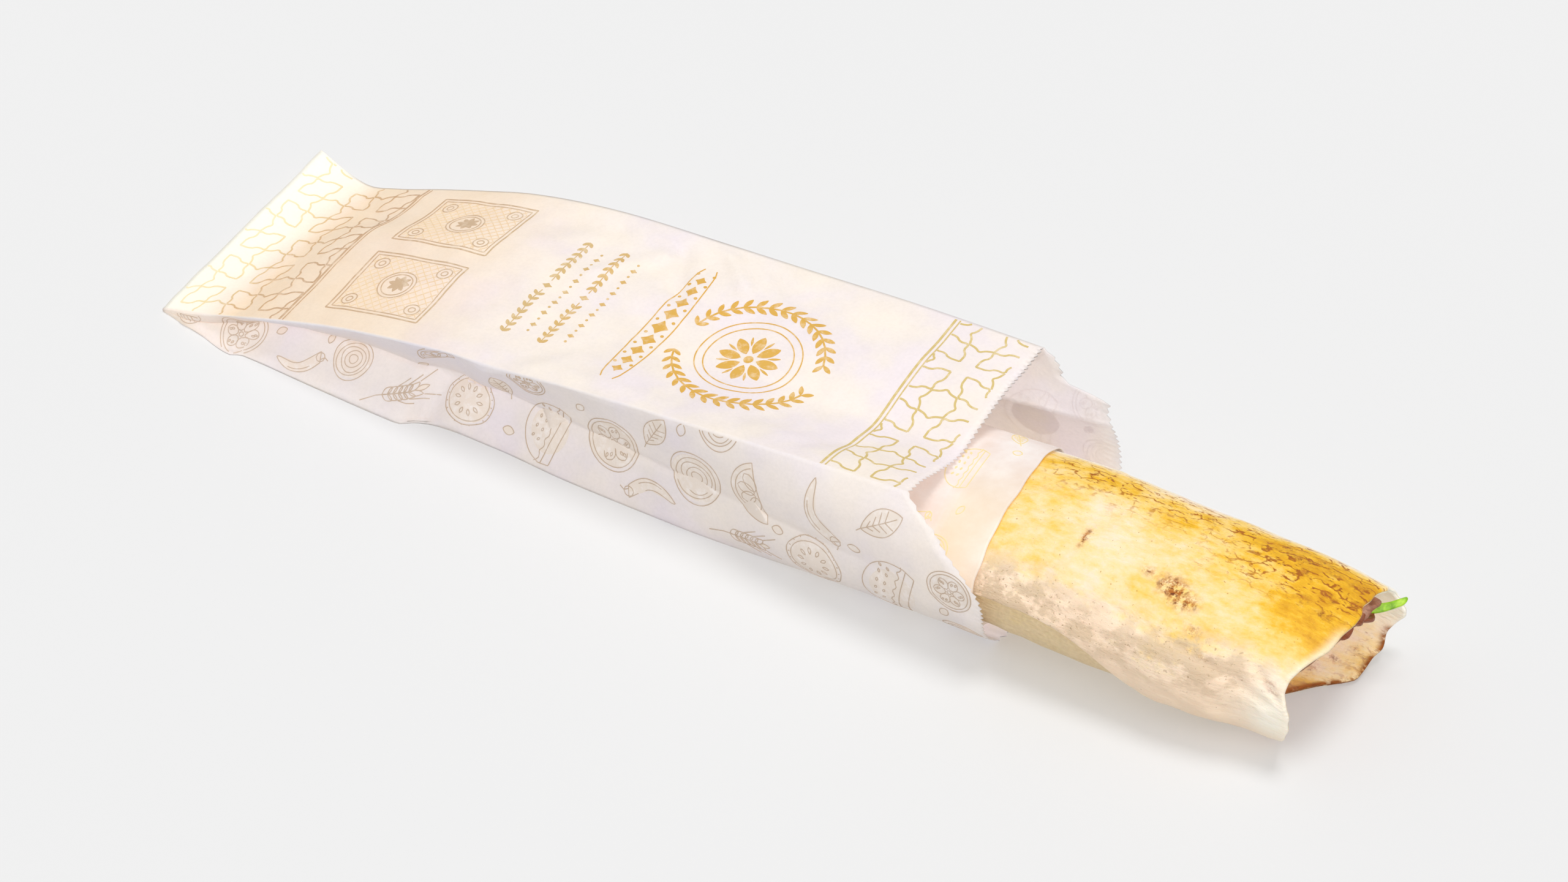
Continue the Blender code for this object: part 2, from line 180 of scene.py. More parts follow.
def add(tree, kind, inputs=None, stops=None, **settings):
    """Adds a node. settings are its properties, inputs maps a socket to a value or to another node's
    output, and stops are the places and colours of a colour ramp."""
    made = tree.nodes.new("ShaderNode" + kind)
    for title, value in settings.items():
        setattr(made, title, value)
    for socket, value in (inputs or {}).items():
        if isinstance(value, bpy.types.NodeSocket):
            tree.links.new(value, made.inputs[socket])
        else:
            made.inputs[socket].default_value = value
    for index, (place, colour) in enumerate(stops or []):
        points = made.color_ramp.elements
        point = points[index] if index < 2 else points.new(place)
        point.position = place
        point.color = linear(colour) if isinstance(colour, str) else (colour, colour, colour, 1)
    return made


def new_finish(name, **values):
    """New material: its node tree and its Principled shader, with the values that are the same all over."""
    material = bpy.data.materials.new(name)
    material.use_nodes = True
    shader = material.node_tree.nodes["Principled BSDF"]
    for socket, value in values.items():
        shader.inputs[socket.replace("_", " ")].default_value = value
    return material, material.node_tree, shader


def blended(tree, factor, first, second, how="MIX"):
    """Colour socket between two colours, each a hex value or a socket, by a factor."""
    ends = [linear(c) if isinstance(c, str) else c for c in (first, second)]
    return add(tree, "Mix", {0: factor, 6: ends[0], 7: ends[1]}, data_type="RGBA", blend_type=how).outputs[2]


print("kraft white in linear light", [round(c, 3) for c in linear("#f8f2ea")])

# %% [markdown]
# ## The bag's paper
# Takeaway bags are made of thin bleached kraft paper, glazed on one side by a hot roller: nearly
# white, faintly cloudy where the fibres lie thicker, with a soft sheen and short fibres that just
# show. Its base is several sheets pasted together. Painted light and shade that follow the folds are
# layers on the mesh: painted warm shade in the valley by the base and low on the near side, painted cool
# shade in the folded sides and a painted highlight on the fin, while clouds, fibres and creases are noise at their real
# size.

# %% Finish: bleached kraft paper


def paper_finish():
    """Cloudy white with painted warm shade, painted cool shade and a painted highlight from the mesh's layers, fine
    fibres, soft wrinkles in the bump.
    """
    material, tree, shader = new_finish("bleached_kraft_paper", IOR=1.5, Specular_IOR_Level=0.3,
                                        Subsurface_Weight=0.3, Subsurface_Radius=(0.004, 0.0035, 0.003),
                                        Subsurface_Scale=1.0)
    place = add(tree, "TexCoord").outputs["Object"]
    clouds = add(tree, "TexNoise", {"Vector": place, "Scale": 30, "Detail": 3, "Roughness": 0.55})  # 33 mm
    patches = add(tree, "TexNoise", {"Vector": place, "Scale": 75, "Detail": 4, "Roughness": 0.6})  # 13 mm
    fibres = add(tree, "TexNoise", {"Vector": place, "Scale": 900, "Detail": 3})  # about 1 mm long
    painted_warm_shade = add(tree, "Attribute", attribute_name="painted_warm_shade").outputs["Fac"]
    painted_cool_shade = add(tree, "Attribute", attribute_name="painted_cool_shade").outputs["Fac"]
    painted_fin_highlight = add(tree, "Attribute", attribute_name="painted_fin_highlight").outputs["Fac"]
    cloudy = add(tree, "ValToRGB", {"Fac": clouds.outputs["Fac"]},
                 [(0.36, "#f2e7ea"), (0.64, "#faeee0"), (0.5, "#f6ebe3")]).outputs["Color"]
    patchy = add(tree, "ValToRGB", {"Fac": patches.outputs["Fac"]}, [(0.35, 0.955), (0.62, 1.0)])
    ground = blended(tree, 1.0, cloudy, patchy.outputs["Color"], "MULTIPLY")
    # Painted warm shade: warm beige where the mesh's layer marks the shaded valley.
    warm_shade_colour = blended(tree, patches.outputs["Fac"], "#f1d0ab", "#f8e1c6")
    ground = blended(tree, painted_warm_shade, ground, warm_shade_colour)
    # Painted cool shade: lilac grey for the folded sides.
    cool_shade = blended(tree, clouds.outputs["Fac"], "#e0dbe6", "#ece6ec")
    ground = blended(tree, painted_cool_shade, ground, cool_shade)
    # Painted highlight: brighter cream on the fin at the base.
    ground = blended(tree, painted_fin_highlight, ground, "#fcf6e6")
    speck = add(tree, "ValToRGB", {"Fac": fibres.outputs["Fac"]}, [(0.3, 0.965), (0.6, 1.0)])
    colour = blended(tree, 1.0, ground, speck.outputs["Color"], "MULTIPLY")
    tree.links.new(colour, shader.inputs["Base Color"])
    gloss = add(tree, "MapRange", {"Value": clouds.outputs["Fac"], "To Min": 0.46, "To Max": 0.66})
    tree.links.new(gloss.outputs[0], shader.inputs["Roughness"])
    wrinkles = add(tree, "TexNoise", {"Vector": place, "Scale": 160, "Detail": 5, "Roughness": 0.62})  # 6 mm
    soft = add(tree, "Bump", {"Strength": 0.35, "Distance": 0.0006, "Height": wrinkles.outputs["Fac"]})
    fine = add(tree, "Bump", {"Strength": 0.25, "Distance": 0.00008, "Height": fibres.outputs["Fac"],
                              "Normal": soft.outputs["Normal"]})
    tree.links.new(fine.outputs["Normal"], shader.inputs["Normal"])
    return material


BAG_PAPER = paper_finish()
print("finish:", BAG_PAPER.name)

# %% [markdown]
# ## How the bag is folded
# A gusseted bag is a tube of paper with six fold lines: two along the ground, two along the top, and
# one down the middle of each side, where the gusset tucks in. Lying on a table it is closed and flat
# at its base and full at its mouth, so each fold line is a curve of the distance from the base. The
# skin between two fold lines is a straight blend of them. That is simpler and truer to folded paper
# than simulating a sheet, which would lose the sharp folds.

# %% The bag's fold lines
BAG_LENGTH = 0.346
LIP_SETBACK = 0.034
NEAR_FOOT_Y = ((0, 0.020, 0.0365, 0.040, 0.075, 0.110, 0.116, 0.122, 0.147, 0.177, 0.223, 0.284, 0.346),
               (-0.0475, -0.0518, -0.0555, -0.0536, -0.0550, -0.0560, -0.0524, -0.0503, -0.0495, -0.0512,
                -0.0515, -0.0480, -0.0450))
NEAR_RIDGE_Z = ((0, 0.024, 0.056, 0.080, 0.101, 0.126, 0.150, 0.177, 0.222, 0.263, 0.312, 0.346),
                (0.0012, 0.0085, 0.0190, 0.0258, 0.0302, 0.0342, 0.0365, 0.0400, 0.0446, 0.0483, 0.0520,
                 0.0530))
FAR_RIDGE_Z = ((0, 0.012, 0.024, 0.037, 0.060, 0.080, 0.101, 0.136, 0.189, 0.218, 0.263, 0.312, 0.346),
               (0.0100, 0.0064, 0.0048, 0.0085, 0.0172, 0.0240, 0.0305, 0.0370, 0.0405, 0.0420, 0.0445,
                0.0456, 0.0460))
FAR_FOOT_Z = ((0, 0.012, 0.024, 0.034, 0.346), (0.0088, 0.0050, 0.0016, 0, 0))
FAR_SIDE_Y = ((0, 0.024, 0.110, 0.346), (0.0520, 0.0485, 0.0480, 0.0480))
NEAR_RIDGE_Y = ((0, 0.030, 0.346), (-0.0475, -0.0485, -0.0475))
NEAR_TUCK = ((0, 0.010, 0.045, 0.080, 0.120, 0.180, 0.230, 0.278, 0.312, 0.346),
             (0, 0, 0.0130, 0.0150, 0.0130, 0.0075, 0.0010, -0.0060, -0.0108, -0.0142))
FAR_TUCK = ((0, 0.010, 0.045, 0.100, 0.180, 0.240, 0.300, 0.346),
            (0, 0, 0.0140, 0.0160, 0.0140, 0.0115, 0.0090, 0.0030))
TO_FRAME = np.array((BAG_LOW[0], BAG_HIGH[1] - FAR_SIDE_Y[1][0], 0))  # from the bag's base to the frame
BOTTOM, FAR_LOWER, FAR_UPPER, TOP, NEAR_UPPER, NEAR_LOWER = range(6)


def bag_folds(x):
    """(y, z) of the six fold lines at distance x: near foot, far foot, far crease, far ridge, near
    ridge, near crease. A crease stands in from the middle of its side by the tuck."""
    near_foot = (along(x, *NEAR_FOOT_Y), 0 * x)
    near_ridge = (along(x, *NEAR_RIDGE_Y), along(x, *NEAR_RIDGE_Z))
    far_y = along(x, *FAR_SIDE_Y)
    far_foot = (far_y, along(x, *FAR_FOOT_Z))
    far_ridge = (far_y, along(x, *FAR_RIDGE_Z))
    far_crease = (far_y - along(x, *FAR_TUCK), far_foot[1] + 0.55 * (far_ridge[1] - far_foot[1]))
    near_middle = (near_foot[0] + near_ridge[0]) / 2
    near_crease = (near_middle + along(x, *NEAR_TUCK), 0.47 * near_ridge[1])
    return np.array([near_foot, far_foot, far_crease, far_ridge, near_ridge, near_crease])


def inward(folds, wall):
    """Fold lines moved inwards by the wall: each along the mitre, the sum of the unit normals of its
    two panels divided by one plus their dot product."""
    side = np.roll(folds, -1, axis=0) - folds
    side = side / np.hypot(side[:, 0], side[:, 1])[:, None]
    normal = np.stack([-side[:, 1], side[:, 0]], axis=1)
    before = np.roll(normal, 1, axis=0)
    spread = np.maximum(1 + np.sum(normal * before, axis=1, keepdims=True), 0.02)
    return folds + wall * (normal + before) / spread


stations = np.linspace(0, BAG_LENGTH, 5)
print("near ridge heights, mm", np.round(bag_folds(stations)[4, 1] * 1000, 1))

# %% [markdown]
# ## Hump, sag and crumple
# The flat top of the bag is pushed up near the base, where the gussets spread it, and sags onto the
# roll near the mouth. Handling leaves it softly crumpled: wide hollows, a few long creases that run
# aslant from the folds, and a buckle in the near side where the bag bends. All of it is a
# displacement that fades out at the fold lines, so that the folds stay clean.

# %% The bag's skin as a function of its position
PANEL_HUMP = ((0, 0.030, 0.057, 0.110, 0.180, 0.230, 0.278, 0.312, 0.346),
              (0, 0.0015, 0.0050, 0.0025, -0.0020, -0.0050, -0.0080, -0.0084, -0.0084))
NEAR_CUT = ((0, 0.42, 0.54, 0.62, 0.74, 0.80, 0.88, 0.94, 1),
            (0.3460, 0.3470, 0.3465, 0.3440, 0.3360, 0.3310, 0.3250, 0.3180, BAG_LENGTH - LIP_SETBACK))
FAR_CUT = ((0, 0.50, 0.60, 0.70, 0.75, 0.86, 0.95, 1),
           (0.3450, 0.3415, 0.3390, 0.3365, 0.3240, 0.3195, 0.3160, BAG_LENGTH - LIP_SETBACK))
UPRIGHT_TO = 0.285
UPRIGHT_SHARE = 0.78
# Creases of the top: from and to, as (distance from the base, y), then width and depth
CREASES = (((0.172, 0.040), (0.186, 0.012), 0.0032, 0.0015), ((0.186, 0.046), (0.205, 0.026), 0.0030, -0.0015),
           ((0.205, 0.042), (0.238, 0.024), 0.0032, 0.0009), ((0.148, 0.010), (0.170, 0.034), 0.0034, -0.0010),
           ((0.262, -0.042), (0.284, -0.022), 0.0036, 0.0007), ((0.120, 0.006), (0.146, -0.016), 0.0040, -0.0008),
           ((0.100, -0.030), (0.135, -0.012), 0.0060, 0.0008), ((0.118, 0.034), (0.150, 0.040), 0.0060, 0.0010),
           ((0.232, -0.046), (0.262, -0.010), 0.0050, 0.0005), ((0.020, 0.046), (0.052, 0.020), 0.0040, 0.0010),
           ((0.018, -0.018), (0.040, -0.046), 0.0040, 0.0009), ((0.150, -0.046), (0.172, -0.022), 0.0040, 0.0006))


def panel_hump(x, t):
    """Height of the top over the straight line between its ridges; t runs from near (0) to far (1). It
    is the hump along the bag times a profile across it: a sag where negative, a bulge where positive."""
    hump = along(x, *PANEL_HUMP)
    sag = along(t, (0, 0.10, 0.22, 0.38, 0.55, 0.72, 0.86, 1), (0, 0.17, 0.62, 1, 0.58, 0.24, 0.20, 0))
    bulge = along(t, (0, 0.25, 0.55, 0.80, 1), (0, 0.45, 1, 0.15, 0))
    return hump * np.where(hump < 0, sag, bulge)


def side_bow(x, v, far):
    """How far a half gusset bows out of its flat: a half sine across it, fuller towards the mouth."""
    fullness = 0.25 * ease((x - 0.10) / 0.2) if far else ease((x - 0.20) / 0.1)
    return 0.0045 * fullness * np.sin(np.pi * v)


def near_line(x, y, start, end, width):
    """1 on the straight line from start to end, falling off as a bell across it and past its ends."""
    (ax, ay), (bx, by) = start, end
    reach = np.hypot(bx - ax, by - ay)
    step = ((x - ax) * (bx - ax) + (y - ay) * (by - ay)) / reach**2
    across = ((x - ax) * (by - ay) - (y - ay) * (bx - ax)) / reach
    return bump(across / width) * bump(np.maximum(np.abs(step - 0.5) - 0.4, 0) / 0.12)


def crumple(x, panel, v, y, z):
    """Height of the crumpled paper over its smooth shape. Top: clouds, folded clouds and the creases,
    flatter where it lies on the roll. Sides: folded clouds and the near side's buckle."""
    fade = ease(np.minimum(v, 1 - v) / 0.10)
    spot = np.stack([x, y, z], axis=-1)
    loose = 1 - 0.62 * ease((x - 0.19) / 0.06)
    top = loose * (0.0012 * layered(spot, 0.050, 3, 2) + 0.0011 * (layered(spot, 0.036, 7, 3, True) - 0.1))
    for start, end, width, depth in CREASES:
        top = top - depth * near_line(x, y, start, end, width)
    far = 0.0007 * layered(spot, 0.030, 11, 3, True) - 0.0002
    near = 0.0012 * layered(spot, 0.030, 17, 3, True) * (1 - 0.4 * ease((x - 0.2) / 0.06))
    up = np.where(panel == NEAR_UPPER, 1 - 0.53 * v, 0.47 * (1 - v))
    near = near - 0.0020 * bump((x - 0.1165 - 0.012 * up) / 0.0050) * np.where(panel == NEAR_LOWER, 1, 1 - v)
    near = near + 0.0016 * bump((x - 0.128 - 0.020 * up) / 0.0070)
    height = np.select([panel == BOTTOM, panel == TOP, panel >= NEAR_UPPER], [0 * x, top, near], far)
    return height * fade


def bag_section(x, panel, v, wall=0.0):
    """Point of the bag's skin at distance x, on a panel, at fraction v of the way across it: a straight
    blend of its two fold lines, plus hump or sag, bow and crumple, the last along the panel's normal."""
    folds = bag_folds(x)
    flat_a = np.take_along_axis(folds, panel[None, None], axis=0)[0]
    flat_b = np.take_along_axis(folds, ((panel + 1) % 6)[None, None], axis=0)[0]
    normal = np.stack([flat_b[1] - flat_a[1], flat_a[0] - flat_b[0]]) / np.hypot(*(flat_b - flat_a))
    if wall:
        folds = inward(folds, wall)
    y, z = (np.take_along_axis(folds, p[None, None], axis=0)[0] for p in (panel, (panel + 1) % 6))
    y, z = y * (1 - v) + z * v
    z = z + np.where(panel == TOP, panel_hump(x, 1 - v), 0)
    bow = np.where(panel >= NEAR_UPPER, -side_bow(x, v, False), side_bow(x, v, True))
    y = y + np.where((panel == BOTTOM) | (panel == TOP), 0, bow)
    height = crumple(x, panel, v, y, z)
    return np.stack([x, y + normal[0] * height, z + normal[1] * height], axis=-1)


def mouth_edge(panel, v):
    """Distance from the base to the cut edge of the mouth, all round the bag."""
    cuts = (along(v, (0, 0.06, 1), (0.3460, 0.3475, 0.3450)), along(v / 2, *FAR_CUT),
            along(0.5 + v / 2, *FAR_CUT), np.full_like(v, BAG_LENGTH - LIP_SETBACK),
            along(1 - v / 2, *NEAR_CUT), along(0.5 - v / 2, *NEAR_CUT))
    return np.choose(panel, cuts)


def bag_x(share, panel, v, start=0.0):
    """Distance from the base at a share of the length: even and upright at first, then stretched so
    that the last row follows the slanting cut."""
    first = start + share / UPRIGHT_SHARE * (UPRIGHT_TO - start)
    last = (share - UPRIGHT_SHARE) / (1 - UPRIGHT_SHARE) * (mouth_edge(panel, v) - UPRIGHT_TO)
    return np.where(share < UPRIGHT_SHARE, first, UPRIGHT_TO + last)


probe = bag_section(np.array([0.16]), np.array([TOP]), np.array([0.5]))
print("middle of the top, mm from the base", np.round(probe[0] * 1000, 1))

# %% [markdown]
# ## Building the bag
# The bag is one closed shell: an outer skin, an inner skin a paper's thickness inside it, and a rim
# where they meet. Bag makers cut the tube off with a toothed blade, so the mouth is pinked: every
# second point of the rim is pulled back by a tooth's depth. Real paper is 0.1 mm thick; it is drawn
# a little thicker here, so that its edge catches light.

# %% Piece: the bag
PAPER = 0.00032
TOOTH_DEPTH = 0.0012
BAG_CELLS = (60, 20, 18, 80, 26, 24)
BAG_ROWS = 168
LAST_BAND = 0.028


def bag_skin(wall, start):
    """Grid of the skin: rows run round the bag, and the last is pinked."""
    panel = np.repeat(np.arange(6), BAG_CELLS)
    v = np.concatenate([np.arange(n) / n for n in BAG_CELLS])
    share = np.append(np.linspace(0, 1 - LAST_BAND, BAG_ROWS - 1), 1)[:, None]
    share, panel, v = np.broadcast_arrays(share, panel[None], v[None])
    x = bag_x(share, panel, v, start)
    x = x - np.where((share == 1) & (np.arange(x.shape[1]) % 2 == 1), TOOTH_DEPTH, 0)
    return bag_section(x, panel, v, wall), x, panel, v


def paper_tones(x, panel, v):
    """The layers that the paper's finish reads: painted warm shade in the valley by the base and low on the near
    side, painted cool shade in the folded sides, darkest under the top fold, and a painted highlight on the flat fin
    that the base is pasted into."""
    t = 1 - v
    top = panel == TOP
    # Painted warm shade on the top: strongest in the valley between the fin and the lattice, where the paper faces away
    # from the light, fading towards the mouth.
    painted_warm_shade = along(x, (0, 0.010, 0.022, 0.036, 0.052, 0.090, 0.112, 0.135, 0.20, 0.346),
                   (0.02, 0.05, 0.45, 1.0, 0.86, 0.74, 0.50, 0.16, 0.05, 0.04))
    painted_warm_shade = np.where(top, painted_warm_shade * (1 - 0.35 * ease((t - 0.55) / 0.4) * ease((x - 0.09) / 0.03)), 0)
    near = (panel == NEAR_UPPER) | (panel == NEAR_LOWER)
    up = np.where(panel == NEAR_UPPER, 1 - 0.53 * v, 0.47 * (1 - v))
    # Painted cool shade on the near side, strongest under the top fold near the base; the far side gets a little all
    # over.
    cool_shade = along(x, (0, 0.05, 0.10, 0.16, 0.22, 0.346), (0.30, 0.42, 0.38, 0.20, 0.16, 0.20))
    cool_shade = cool_shade + 0.42 * ease((up - 0.35) / 0.5) * along(x, (0, 0.05, 0.11, 0.2, 0.3), (0.2, 1, 1, 0.3, 0))
    painted_cool_shade = np.where(near, cool_shade * ease((x - 0.01) / 0.05), 0)
    painted_cool_shade = np.where((panel == FAR_LOWER) | (panel == FAR_UPPER), 0.15, painted_cool_shade)
    # On the near side the warm layer is painted warm shade low by the foot and close to the base.
    painted_warm_shade = np.where(near, 0.28 * bump(x / 0.04) + 0.25 * bump(up / 0.16) * bump(x / 0.12), painted_warm_shade)
    # Painted highlight: the fin at the base is painted brighter where it faces the light.
    painted_fin_highlight = np.where(top, along(x, (0, 0.012, 0.026, 0.04), (1, 0.85, 0.2, 0)), 0)
    return {"painted_warm_shade": painted_warm_shade, "painted_cool_shade": painted_cool_shade, "painted_fin_highlight": painted_fin_highlight}


def paper_bag():
    """Outer skin, inner skin turned round, the rim between them, and a cap at the base of each."""
    outer, *position = bag_skin(0.0, 0.0)
    inner = bag_skin(PAPER, 0.034)[0]
    rows, columns = outer.shape[:2]
    shift = rows * columns
    outside = grid_faces(rows, columns, True)
    inside = grid_faces(rows, columns, True, shift)[:, ::-1]
    j = np.arange(columns)
    k = (j + 1) % columns
    last = (rows - 1) * columns
    rim = np.stack([last + j, last + k, last + k + shift, last + j + shift], axis=-1)
    faces = [*outside, *inside, *rim, j[::-1], j + shift]
    tones = paper_tones(*position)
    layers = {title: np.concatenate([value, value]) for title, value in tones.items()}
    points = np.clip(np.concatenate([outer.reshape(-1, 3), inner.reshape(-1, 3)]) + TO_FRAME, BAG_LOW, BAG_HIGH)
    bag = make_piece("printed_bag", points, faces, BAG_PAPER, layers=layers)
    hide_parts("paper_bag")
    return bag


BAG = paper_bag()

# %% [markdown]
# ## Ink on curved paper
# The print is line work half a millimetre wide, finer than a texture of the whole bag could hold, so
# each stroke is a thin ribbon of its own that follows the paper a tenth of a millimetre above it. A
# stroke is drawn flat, in the unfolded sheet's own two directions, and a chart then lays the sheet's
# points onto the bag: along the bag, and across its top or up its side.

# %% Charts: from the flat sheet to the bag


def on_top(s, t):
    """Point of the top at distance s from the base and t across, towards the far side."""
    folds = bag_folds(s)
    v = (folds[TOP, 0] - t) / (folds[TOP, 0] - folds[NEAR_UPPER, 0])
    return bag_section(s, np.full(s.shape, TOP), np.clip(v, 0, 1))


def side_place(s, t, lower, upper):
    """Panel and fraction across it for a point t up the paper of a side; the lower half ends at the
    crease. Both fractions run the way that the folds are numbered."""
    folds = bag_folds(s)
    ends = {NEAR_LOWER: (5, 0), NEAR_UPPER: (4, 5), FAR_LOWER: (1, 2), FAR_UPPER: (2, 3)}
    low, high = (np.hypot(*(folds[ends[p][1]] - folds[ends[p][0]])) for p in (lower, upper))
    below = t < low
    part = np.clip(np.where(below, t / low, (t - low) / high), 0, 1)
    return np.where(below, lower, upper), part if lower == FAR_LOWER else 1 - part, low + high


def on_near_side(s, t):
    """Point of the near side at distance s, t up the paper from its foot."""
    return bag_section(s, *side_place(s, t, NEAR_LOWER, NEAR_UPPER)[:2])


def on_far_side(s, t):
    """Point of the far side at distance s, t up the paper from its foot."""
    return bag_section(s, *side_place(s, t, FAR_LOWER, FAR_UPPER)[:2])


def within_top(low, high):
    """Test for the points of the top between two distances, a little inside its ridges."""
    def inside(s, t):
        folds = bag_folds(s)
        return (s > low) & (s < high) & (t < folds[TOP, 0] - 0.0009) & (t > folds[NEAR_UPPER, 0] + 0.0009)
    return inside


def within_side(lower, upper):
    """Test for the points of a side clear of its foot, its ridge and the cut mouth."""
    def inside(s, t):
        panel, v, height = side_place(s, t, lower, upper)
        return (s > 0.004) & (s < mouth_edge(panel, v) - 0.002) & (t > 0.0012) & (t < height - 0.0008)
    return inside


side_height = side_place(np.array([0.06, 0.18, 0.30]), np.zeros(3), NEAR_LOWER, NEAR_UPPER)[2]
print("height of the near side's paper, mm", np.round(side_height * 1000, 1))

# %% Strokes and fields
STEP = 0.00032
LIFT = 0.00011
BED = 0.00006


def resampled(path):
    """Points at even steps along a chain of straight lines."""
    path = np.asarray(path, float)
    reach = np.concatenate([[0], np.cumsum(np.hypot(*np.diff(path, axis=0).T))])
    at = np.linspace(0, reach[-1], max(int(reach[-1] / STEP), 17))
    return np.stack([np.interp(at, reach, c) for c in path.T], axis=-1)


def laid(chart, flat, facing=1):
    """Points of the chart and its unit normals, the cross product of two short steps along it."""
    s, t = flat[..., 0], flat[..., 1]
    point, nudge = chart(s, t), 0.0004
    normal = np.cross(chart(s + nudge, t) - chart(s - nudge, t), chart(s, t + nudge) - chart(s, t - nudge)) * facing
    return point, normal / np.linalg.norm(normal, axis=-1, keepdims=True)


def strokes(chart, paths, width, inside, facing=1):
    """Ribbons along the paths: at each point a rectangle as wide as the stroke, from just under the
    paper to just above it. Parts that fall outside are dropped, and each end is capped."""
    flat = [resampled(path) for path in paths]
    which = np.repeat(np.arange(len(flat)), [len(f) for f in flat])
    flat = np.concatenate(flat)
    kept = inside(flat[:, 0], flat[:, 1])
    run = np.cumsum(np.append(0, (np.diff(which) != 0) | (np.diff(kept) != 0)))
    runs = [np.flatnonzero(run == r) for r in np.unique(run[kept])]
    runs = [flat[np.append(r[:-1:2], r[-1])] for r in runs if len(r) > 4]
    point, normal = laid(chart, np.concatenate(runs), facing)
    points, faces, first = [], [], 0
    for length in map(len, runs):
        here, up = point[first:first + length], normal[first:first + length]
        side = np.cross(up, np.gradient(here, axis=0))
        side = side / np.linalg.norm(side, axis=-1, keepdims=True) * width / 2
        high, low = here + LIFT * up, here - BED * up
        points.append(np.stack([high + side, high - side, low - side, low + side], axis=1).reshape(-1, 3))
        base = 4 * first
        ends = ([base + 3, base + 2, base + 1, base], [base + 4 * length - k for k in (4, 3, 2, 1)])
        faces += [*grid_faces(length, 4, True, base), *ends]
        first += length
    return np.concatenate(points), faces


def fields(chart, outlines, inside, facing=1, lift=0.8 * LIFT):
    """Flat patches: each is a fan of rings from its middle to its outline, raised a little and closed
    under the paper. A patch whose middle falls outside is dropped."""
    points, faces, first = [], [], 0
    for outline in outlines:
        outline = np.asarray(outline)
        outline = resampled(np.append(outline, outline[:1], axis=0))[:-1][::2]
        middle = outline.mean(axis=0)
        if not inside(middle[:1], middle[1:])[0]:
            continue
        area = np.sum(outline[:, 0] * np.roll(outline[:, 1], -1) - outline[:, 1] * np.roll(outline[:, 0], -1))
        outline = outline if area * facing > 0 else outline[::-1]
        count, rings = len(outline), int(np.clip(np.abs(outline - middle).max() / 0.0012, 2, 7))
        shares = np.append(1, np.linspace(1, 0, rings + 1)[:-1])
        flat = np.concatenate([middle + s * (outline - middle) for s in shares] + [middle[None]] * 2)
        here, up = laid(chart, flat, facing)
        height = np.repeat((-BED, lift, lift, -BED), (count, count * rings, 1, 1))
        points.append(here + height[:, None] * up)
        j, top, bottom = np.arange(count), (rings + 1) * count, (rings + 1) * count + 1
        k = (j + 1) % count
        fans = [np.stack([top - count + j, top - count + k, top + 0 * j], -1), np.stack([k, j, bottom + 0 * j], -1)]
        faces += [*grid_faces(rings + 1, count, True, first), *(fans[0] + first), *(fans[1] + first)]
        first += len(flat)
    return (np.concatenate(points), faces) if points else (np.zeros((0, 3)), [])


def printed(name, parts, material, to_frame=TO_FRAME):
    """One piece from several sets of points and faces."""
    points, faces = np.zeros((0, 3)), []
    for more, new in parts:
        faces += [np.asarray(f) + len(points) for f in new]
        points = np.concatenate([points, more])
    return make_piece(name, points + to_frame, faces, material, smooth=False)


print("a stroke stands", round(LIFT * 1000, 2), "mm above the paper")

# %% [markdown]
# ## The inks
# Takeaway bags are printed with two or three thin water-based inks from rubber plates. They soak in,
# so they are as matt as the paper and a little uneven. The gold ink is painted brown in the shaded
# valley near the base and pale on the lit fin, painted shade and a painted highlight, so its colour
# follows the distance along the bag. The sides carry a weaker tint of brown.

# %% Finish: water-based printing ink


def ink_finish(name, along_bag, worn="#f7ead6", wear=0.35):
    """Colour by distance along the bag, which for the gold inks carries painted shade and a painted highlight near the
    base, mixed with a worn, paler tone where the plate pressed less.
    """
    material, tree, shader = new_finish(name, IOR=1.48, Specular_IOR_Level=0.25, Roughness=0.62)
    place = add(tree, "TexCoord").outputs["Object"]
    distance = add(tree, "SeparateXYZ", {"Vector": place}).outputs["X"]
    share = add(tree, "MapRange", {"Value": distance, "From Min": BAG_LOW[0], "From Max": BAG_LOW[0] + 0.346})
    colour = add(tree, "ValToRGB", {"Fac": share.outputs[0]}, along_bag).outputs["Color"]
    press = add(tree, "TexNoise", {"Vector": place, "Scale": 260, "Detail": 4, "Roughness": 0.7})  # 4 mm
    thin = add(tree, "MapRange", {"Value": press.outputs["Fac"], "From Min": 0.48, "From Max": 0.66, "To Max": wear})
    colour = blended(tree, thin.outputs[0], colour, worn)
    tree.links.new(colour, shader.inputs["Base Color"])
    grain = add(tree, "Bump", {"Strength": 0.3, "Distance": 0.0001, "Height": press.outputs["Fac"]})
    tree.links.new(grain.outputs["Normal"], shader.inputs["Normal"])
    return material


# Painted shade and light in the gold inks: brown where the valley near the base is in shade, pale on the lit fin.
GOLD_INK = ink_finish("gold_printing_ink", [
    (0.0, "#f4e5bf"), (1.0, "#d0b977"), (0.045, "#eddaab"), (0.085, "#d5b388"), (0.14, "#c6a584"),
    (0.30, "#c8ae90"), (0.40, "#cdb07c"), (0.56, "#d6a648"), (0.74, "#d4a955"), (0.80, "#cfb878")])
FAINT_GOLD_INK = ink_finish("faint_gold_printing_ink", [(0.0, "#f3ddb4"), (1.0, "#f0dfb0"), (0.3, "#e6cba6")])
BROWN_INK = ink_finish("brown_tint_printing_ink", [(0.0, "#d0baa6"), (1.0, "#c4af9b"), (0.5, "#c3ae99")], "#e6dcd5")
PALE_INK = ink_finish("pale_fill_printing_ink", [(0.0, "#efdfd2"), (1.0, "#e9ddd2"), (0.5, "#e8dbcf")], "#f3ebe6", 0.8)
print("inks:", *(ink.name for ink in (GOLD_INK, FAINT_GOLD_INK, BROWN_INK, PALE_INK)))

